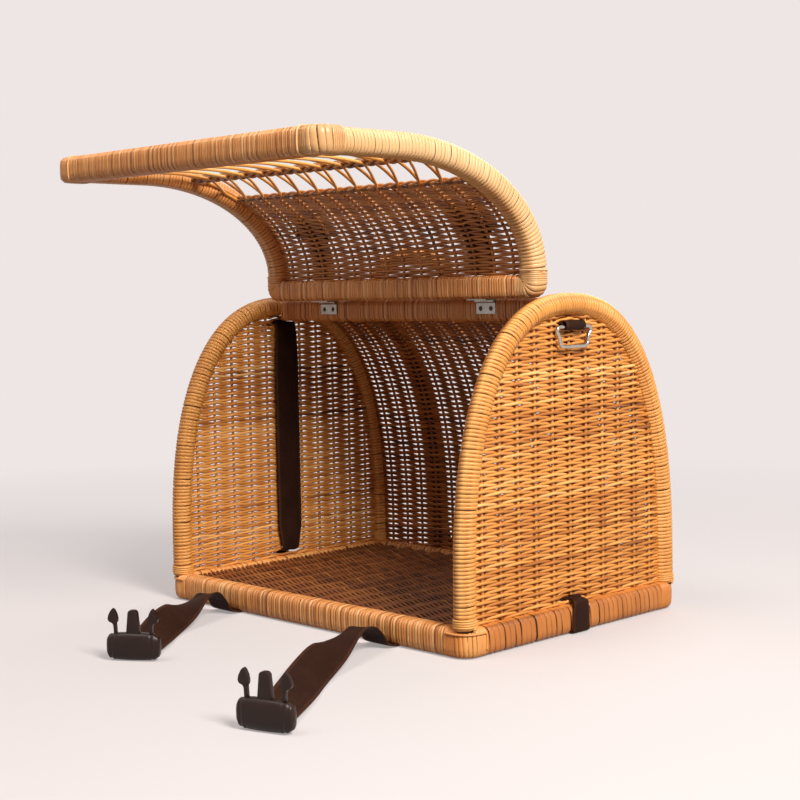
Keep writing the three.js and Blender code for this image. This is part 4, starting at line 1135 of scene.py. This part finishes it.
def webbing(name, node, body, centres, widths, halves, cup=0.0):
    """A length of webbing along a line; widths point across it, and cup bows its middle off it."""
    centres = np.array(centres, dtype=float)
    widths = np.array(widths, dtype=float)
    halves, cup = (np.broadcast_to(np.array(v, dtype=float), len(centres)) for v in (halves, cup))
    tangents = headings(centres)
    widths -= tangents * np.sum(widths * tangents, axis=1)[:, None]
    widths /= np.linalg.norm(widths, axis=1)[:, None]
    normals = np.cross(tangents, widths)
    walked = walk(centres)
    upper = [(a, 0.5 if abs(a) < 0.96 else 0.36) for a in np.linspace(-0.98, 0.98, 9)]
    section = [(-1.0, 0.0), *upper, (1.0, 0.0), *[(a, -b) for a, b in reversed(upper)]]
    vertices, weft = [], []
    for c, w, n, h, bow, s in zip(centres, widths, normals, halves, cup, walked):
        for a, b in section:
            vertices.append(c + w * a * h + n * (b * STRAP_THICK + bow * (1 - a * a)))
            weft.append((s, a * STRAP_WIDTH / 2, b))
    mesh = skin(vertices, len(section), flip=True, weft=weft)
    face_out(mesh)
    return fit(put(name, mesh, WEBBING), body, node), walked[-1]


RING_X, RING_Z = 0.2060, 0.2777
LOOP = 0.0029
FULL, DRAWN, GATHERED, PINCHED = 0.016, 0.0135, 0.0118, 0.0062  # half widths
# Each place is x, z, the webbing's half width and its bow, from the end of the fold to the base.
half_sling = [(0.196, 0.2826, DRAWN, 0.0), (0.2074, 0.2826, DRAWN, 0.0), (0.2089, 0.2797, DRAWN, 0.0)]
half_sling += [(RING_X + LOOP * c, RING_Z - LOOP * s, DRAWN, 0.0) for c, s in arc(8, math.pi)]
half_sling += [
    (0.2031, 0.2807, DRAWN, 0.0), (0.1949, 0.2807, DRAWN, 0.0), (0.1930, 0.2700, 0.0145, 0.0),
    (0.1930, 0.2400, FULL, 0.0), (0.1930, 0.0600, FULL, 0.0), (0.1930, 0.0330, 0.0110, 0.0),
    (0.1965, 0.0314, PINCHED, 0.0012), (0.2040, 0.0314, PINCHED, 0.0016),
    (0.2111, 0.0290, 0.0100, 0.0014), (0.2111, 0.0180, GATHERED, 0.0006),
    (0.2111, 0.0011, GATHERED, 0.0), (0.1878, 0.0011, 0.0145, 0.0), (0.1420, 0.0024, FULL, 0.0),
]
sling_line = half_sling + [(-x, z, h, c) for x, z, h, c in reversed(half_sling)]
sling = eased([(x, BACK, z, h, c) for x, z, h, c in sling_line], 0.0012, 2)
made, length = webbing(
    "sling_webbing", "sling_strap", "carrier", sling[:, :3], [ALONG_Y] * len(sling), *sling[:, 3:].T
)


# Rings: bent from chromed wire into a wide bar with dropped shoulders and a narrower loop below.
# They hang and swing in the folds at the ends of the sling.
chrome = Finish("chromed wire")
haze = chrome.noise(chrome.place(), 420.0, 3.0)
CHROME = chrome.feed(
    Base_Color=chrome.mix(haze, "A09A92", "DCD7D0"), Metallic=1.0, Roughness=0.1 + haze * 0.12,
    Normal=chrome.bump(0.06, 0.0002, haze),
)
WIRE = 0.0018
ring_half = [
    (0.0, 0.0), (0.0205, 0.0), (0.0229, -0.0009), (0.0240, -0.0030), (0.0234, -0.0056),
    (0.0214, -0.0074), (0.0202, -0.0092), (0.0198, -0.0118), (0.0194, -0.0148), (0.0178, -0.0172),
    (0.0150, -0.0180), (0.0, -0.0180),
]
ring_line = ring_half + [(-y, z) for y, z in reversed(ring_half[1:-1])] + ring_half[:1]
for side, sx in SIDES:
    line = eased([(sx * RING_X, BACK + y, RING_Z + z) for y, z in ring_line], 0.0012, 2)[:-1]
    made = put(f"ring_wire_{side}", tube_mesh(line, WIRE, sides=12, closed=True), CHROME)
    fit(made, f"ring {side}", f"ring_{side}")


# Closing straps: webbing under the base and up the back, with a free front end that lies on the
# ground, and a second length down the outside of the lid.
STRAP_X = 0.110
UNDER_Z = 0.0011  # webbing's middle under the base
BEHIND_Y = 0.1521  # and behind the back rail
ON_PANEL_Z, ON_PANEL_Y = 0.034, 0.020  # where it first lies on the back panel, and where it ends
LID_STRAP = 0.041
SKIN = 0.0045  # from a panel's middle to the middle of the webbing on it
FREE_X, FREE_Y = 110, -151.3  # start of the free ends, in millimetres from the middle of the base
# Each place is sideways, outwards and up in millimetres, then the direction across the webbing.
FREE_ROUTES = {
    "left": [
        (0, 0, 1.1, 1, 0, 0), (0, -9, 4, 1, 0, 0), (0, -16, 15, 1, 0, 0),
        (1, -25, 20.5, 1, 0, 0.12), (4, -36, 20, 0.97, 0, 0.28),
        (10, -52, 17.5, 0.97, -0.05, 0.12), (26, -80, 14.5, 0.9, -0.1, -0.42),
        (46, -110, 12, 0.84, -0.05, -0.62), (67, -138, 9, 0.86, 0.3, -0.42),
        (84, -161, 6, 0.84, 0.5, -0.2), (96, -177, 4, 0.82, 0.57, 0),
    ],
    "right": [
        (0, 0, 1.1, 1, 0, 0), (0, -9, 4, 1, 0, 0), (0, -16, 14, 1, 0, 0),
        (1, -26, 19.5, 1, 0, 0.12), (4, -40, 19, 0.97, 0, 0.28),
        (12, -60, 17, 0.97, 0, 0.12), (34, -98, 14, 0.9, -0.1, -0.42),
        (62, -140, 12, 0.86, -0.1, -0.62), (88, -178, 9, 0.92, 0.1, -0.42),
        (111, -213, 6, 0.95, 0.25, -0.2), (128, -238, 4, 0.95, 0.31, 0),
    ],
}


def curved(points, per_span=14):
    """A centripetal Catmull-Rom curve through points, with further columns carried along."""
    points = np.array(points, dtype=float)
    points = np.vstack([2 * points[0] - points[1], points, 2 * points[-1] - points[-2]])
    spans = np.linalg.norm(np.diff(points[:, :3], axis=0), axis=1)
    knots = np.concatenate(([0], np.cumsum(np.sqrt(spans))))
    line = []
    for i in range(1, len(points) - 2):
        t = np.linspace(knots[i], knots[i + 1], per_span, endpoint=False)[:, None]
        k = knots[i - 1 : i + 3]
        level = points[i - 1 : i + 3]
        for apart in (1, 2):
            level = [
                ((k[j + apart] - t) * level[j] + (t - k[j]) * level[j + 1]) / (k[j + apart] - k[j])
                for j in range(4 - apart)
            ]
        line.append(((k[2] - t) * level[0] + (t - k[1]) * level[1]) / (k[2] - k[1]))
    return np.vstack(line + [points[-2:-1]])


free_straps = {}
for side, sx in SIDES:
    x = sx * STRAP_X
    route = [
        ((sx * FREE_X + dx) / 1000, BACK + (dy + FREE_Y) / 1000, z / 1000, *across)
        for dx, dy, z, *across in FREE_ROUTES[side]
    ]
    line = curved(route)
    made, length = webbing(
        f"strap_free_{side}", f"strap_{side}_free", "carrier", line[:, :3], line[:, 3:], FULL
    )
    free_straps[side] = (made, line[:, :3], length)

    under = [(x, BACK - BASE_Y, UNDER_Z), (x, BACK + BEHIND_Y, UNDER_Z), (x, BACK + BEHIND_Y, RAIL_HIGH)]
    outer = [(y, z) for y, z in arch_half(SKIN) if z > ON_PANEL_Z and y > ON_PANEL_Y]
    under += [(x, BACK + y, z) for y, z in outer]
    line = eased(under, 0.003, 2)
    made, length = webbing(
        f"strap_base_{side}", f"strap_{side}_base", "carrier", line, [ALONG_X] * len(line), FULL
    )

    outer, _ = stretch(lid_curve(SKIN), 0.0, LID_STRAP)
    line = eased([(x, *swung(y, z)) for y, z in outer], 0.003, 2)
    made, length = webbing(
        f"strap_lid_{side}", f"strap_{side}_lid", "lid", line, [ALONG_X] * len(line), FULL
    )


# Buckles: side-release buckles moulded in dark plastic. A male half with two leaf-shaped prongs and
# a middle tongue ends each free strap, and a socket sits on each lid strap.
plastic = Finish("dark moulded plastic")
speckle = plastic.noise(plastic.place(), 900.0)
scuff = plastic.noise(plastic.place(), 60.0, 4.0)
PLASTIC = plastic.feed(
    Base_Color=plastic.mix(scuff, "150A06", "2A150D"), Roughness=0.28 + scuff * 0.2,
    Normal=plastic.bump(0.2, 0.0001, speckle), Specular_IOR_Level=0.3,
)


def moulded(mesh, outline, low, high, bevel):
    """Adds a plate with rounded edges to a mesh: an outline in (x, z), thick in y."""
    before = set(mesh.verts)
    face = mesh.faces.new([mesh.verts.new((x, low, z)) for x, z in outline])
    raised = bmesh.ops.extrude_face_region(mesh, geom=[face])
    for item in raised["geom"]:
        if isinstance(item, bmesh.types.BMVert):
            item.co.y = high
    added = [v for v in mesh.verts if v not in before]
    edges = [e for e in mesh.edges if all(v in added for v in e.verts)]
    bmesh.ops.bevel(
        mesh, geom=edges, offset=bevel, segments=2, profile=0.5, affect="EDGES", clamp_overlap=True
    )


GRIP_X, GRIP_Y, GRIP_Z = 0.024, 0.006, 0.012
GRIP_SIDES = 28
GRIP_LEAST = 0.0008  # half size at its closed ends
RIBS_FROM, RIBS_TO, RIB_HEIGHT = 0.60, 0.94, 0.00032


def barrel(mesh):
    """A smooth moulded grip along x with ribs near its ends."""
    verts = []
    for u in np.linspace(-1, 1, 65):
        swell = (1 - abs(u) ** 9) ** 0.28 * (1 - 0.10 * u * u)
        rib = RIB_HEIGHT * math.sin(34 * u) if RIBS_FROM < abs(u) < RIBS_TO else 0.0
        half_y, half_z = (max(half * swell + rib, GRIP_LEAST) for half in (GRIP_Y, GRIP_Z))
        for c, s in arc(GRIP_SIDES)[:-1]:
            reach = (abs(c) ** 3 + abs(s) ** 3) ** (-1 / 3)
            place = (u * GRIP_X, c * reach * half_y, GRIP_Z + s * reach * half_z)
            verts.append(mesh.verts.new(place))
    for face in ring_faces(len(verts) // GRIP_SIDES, GRIP_SIDES):
        mesh.faces.new([verts[i] for i in face])


def finished(name, mesh, place, body, node):
    """Puts half a buckle in its place and makes it a piece."""
    bmesh.ops.recalc_face_normals(mesh, faces=mesh.faces)
    bmesh.ops.transform(mesh, matrix=place, verts=mesh.verts)
    for face in mesh.faces:
        face.smooth = True
    data = bpy.data.meshes.new(name)
    mesh.to_mesh(data)
    mesh.free()
    data.set_sharp_from_angle(angle=math.radians(40))
    return fit(put(name, data, PLASTIC), body, node)


def flipped(outline):
    return [(-x, z) for x, z in outline]


def mirrored(half):
    """A whole outline from its half at positive x."""
    return half + [(-x, z) for x, z in reversed(half) if x > 1e-9]


PRONG = [
    (0.0146, 0.0225), (0.0172, 0.0225), (0.0176, 0.0300), (0.0186, 0.0318), (0.0216, 0.0330),
    (0.0227, 0.0352), (0.0219, 0.0390), (0.0199, 0.0426), (0.0178, 0.0449), (0.0160, 0.0428),
    (0.0144, 0.0395), (0.0136, 0.0355), (0.0140, 0.0330), (0.0152, 0.0316), (0.0150, 0.0300),
]
PRONG_THICK, TONGUE_THICK = 0.0022, 0.0028  # to each side of the middle
ROUTE_POINTS = 30
TONGUE = mirrored([(0.0, 0.0436), (0.0026, 0.0433), (0.0042, 0.0416), (0.0062, 0.0225)])
for side, sx in SIDES:
    low, high = (Vector(v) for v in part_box(f"buckle_{side}_male"))
    across = Vector(FREE_ROUTES[side][-1][3:]).normalized()
    turned = Matrix((across, Vector(UP).cross(across), UP)).transposed().to_4x4()
    place = Matrix.Translation(((low.x + high.x) / 2, (low.y + high.y) / 2, low.z)) @ turned
    half = bmesh.new()
    barrel(half)
    for prong in (PRONG, flipped(PRONG)):
        moulded(half, prong, -PRONG_THICK, PRONG_THICK, bevel=0.0007)
    moulded(half, TONGUE, -TONGUE_THICK, TONGUE_THICK, bevel=0.0009)
    made = finished(f"buckle_male_{side}", half, place, "carrier", f"buckle_{side}_male")
    strap, line, length = free_straps[side]
    stride = max(len(line) // ROUTE_POINTS, 1)
    route = line[::stride]
    if len(line) % stride != 1:
        route = np.vstack([route, line[-1:]])
    tuple(line[0])
    [tuple(p) for p in route]

SOCKET_PLACE = 0.056  # middle of a socket along the lid, from the hinge rail
SOCKET_OUT = 0.0093  # and out from the middle of the panel
SOCKET_WALL, SHELL = 0.0025, 0.006
spots, _ = stretch(lid_curve(), SOCKET_PLACE - 0.001, SOCKET_PLACE + 0.001)
near, far = (Vector((0.0, *swung(*spots[k]))) for k in (0, -1))
mouth_way = (far - near).normalized()
face_way = Vector(ALONG_X).cross(mouth_way)
if face_way.y < 0:
    face_way.negate()
seat = (near + far) / 2 + face_way * SOCKET_OUT
across = mouth_way.cross(face_way) * -1
turned = Matrix((across, face_way, mouth_way)).transposed().to_4x4()
COVER = mirrored([
    (0.0, 0.0210), (0.0150, 0.0210), (0.0212, 0.0202), (0.0238, 0.0176), (0.0240, 0.0120),
    (0.0228, 0.0096), (0.0190, 0.0076), (0.0180, 0.0030), (0.0190, -0.0016), (0.0226, -0.0036),
    (0.0236, -0.0070), (0.0228, -0.0150), (0.0206, -0.0196), (0.0160, -0.0210), (0.0, -0.0210),
])
JAW = [(0.0192, 0.0100), (0.0230, 0.0112), (0.0228, 0.0176), (0.0205, 0.0196), (0.0192, 0.0196)]
HEEL = mirrored([(0.0, -0.0055), (0.0200, -0.0055), (0.0222, -0.0075), (0.0216, -0.0150), (0.0, -0.0150)])
PAD = mirrored([(0.0, 0.0150), (0.0090, 0.0140), (0.0120, 0.0080), (0.0110, 0.0010), (0.0, -0.0010)])
RIB_TOP, RIB_STEP, RIB_WIDE = 0.0165, 0.0030, 0.0013
for side, sx in SIDES:
    place = Matrix.Translation(seat + Vector((sx * STRAP_X, 0, 0))) @ turned
    half = bmesh.new()
    for low, high in ((-SHELL, -SHELL + SOCKET_WALL), (SHELL - SOCKET_WALL, SHELL)):
        moulded(half, COVER, low, high, bevel=0.0009)
    for outline in (JAW, flipped(JAW), HEEL):
        moulded(half, outline, -SHELL + 0.001, SHELL - 0.001, bevel=0.0006)
    moulded(half, PAD, SHELL - 0.0012, SHELL + 0.0007, bevel=0.0006)
    for step in range(3):
        z = RIB_TOP - step * RIB_STEP
        rib = [(0.0160, z), (0.0222, z), (0.0222, z - RIB_WIDE), (0.0160, z - RIB_WIDE)]
        for grip in (flipped(rib), rib):
            moulded(half, grip, SHELL - 0.0010, SHELL + 0.0005, bevel=0.0003)
    finished(f"buckle_female_{side}", half, place, "lid", f"buckle_{side}_female")
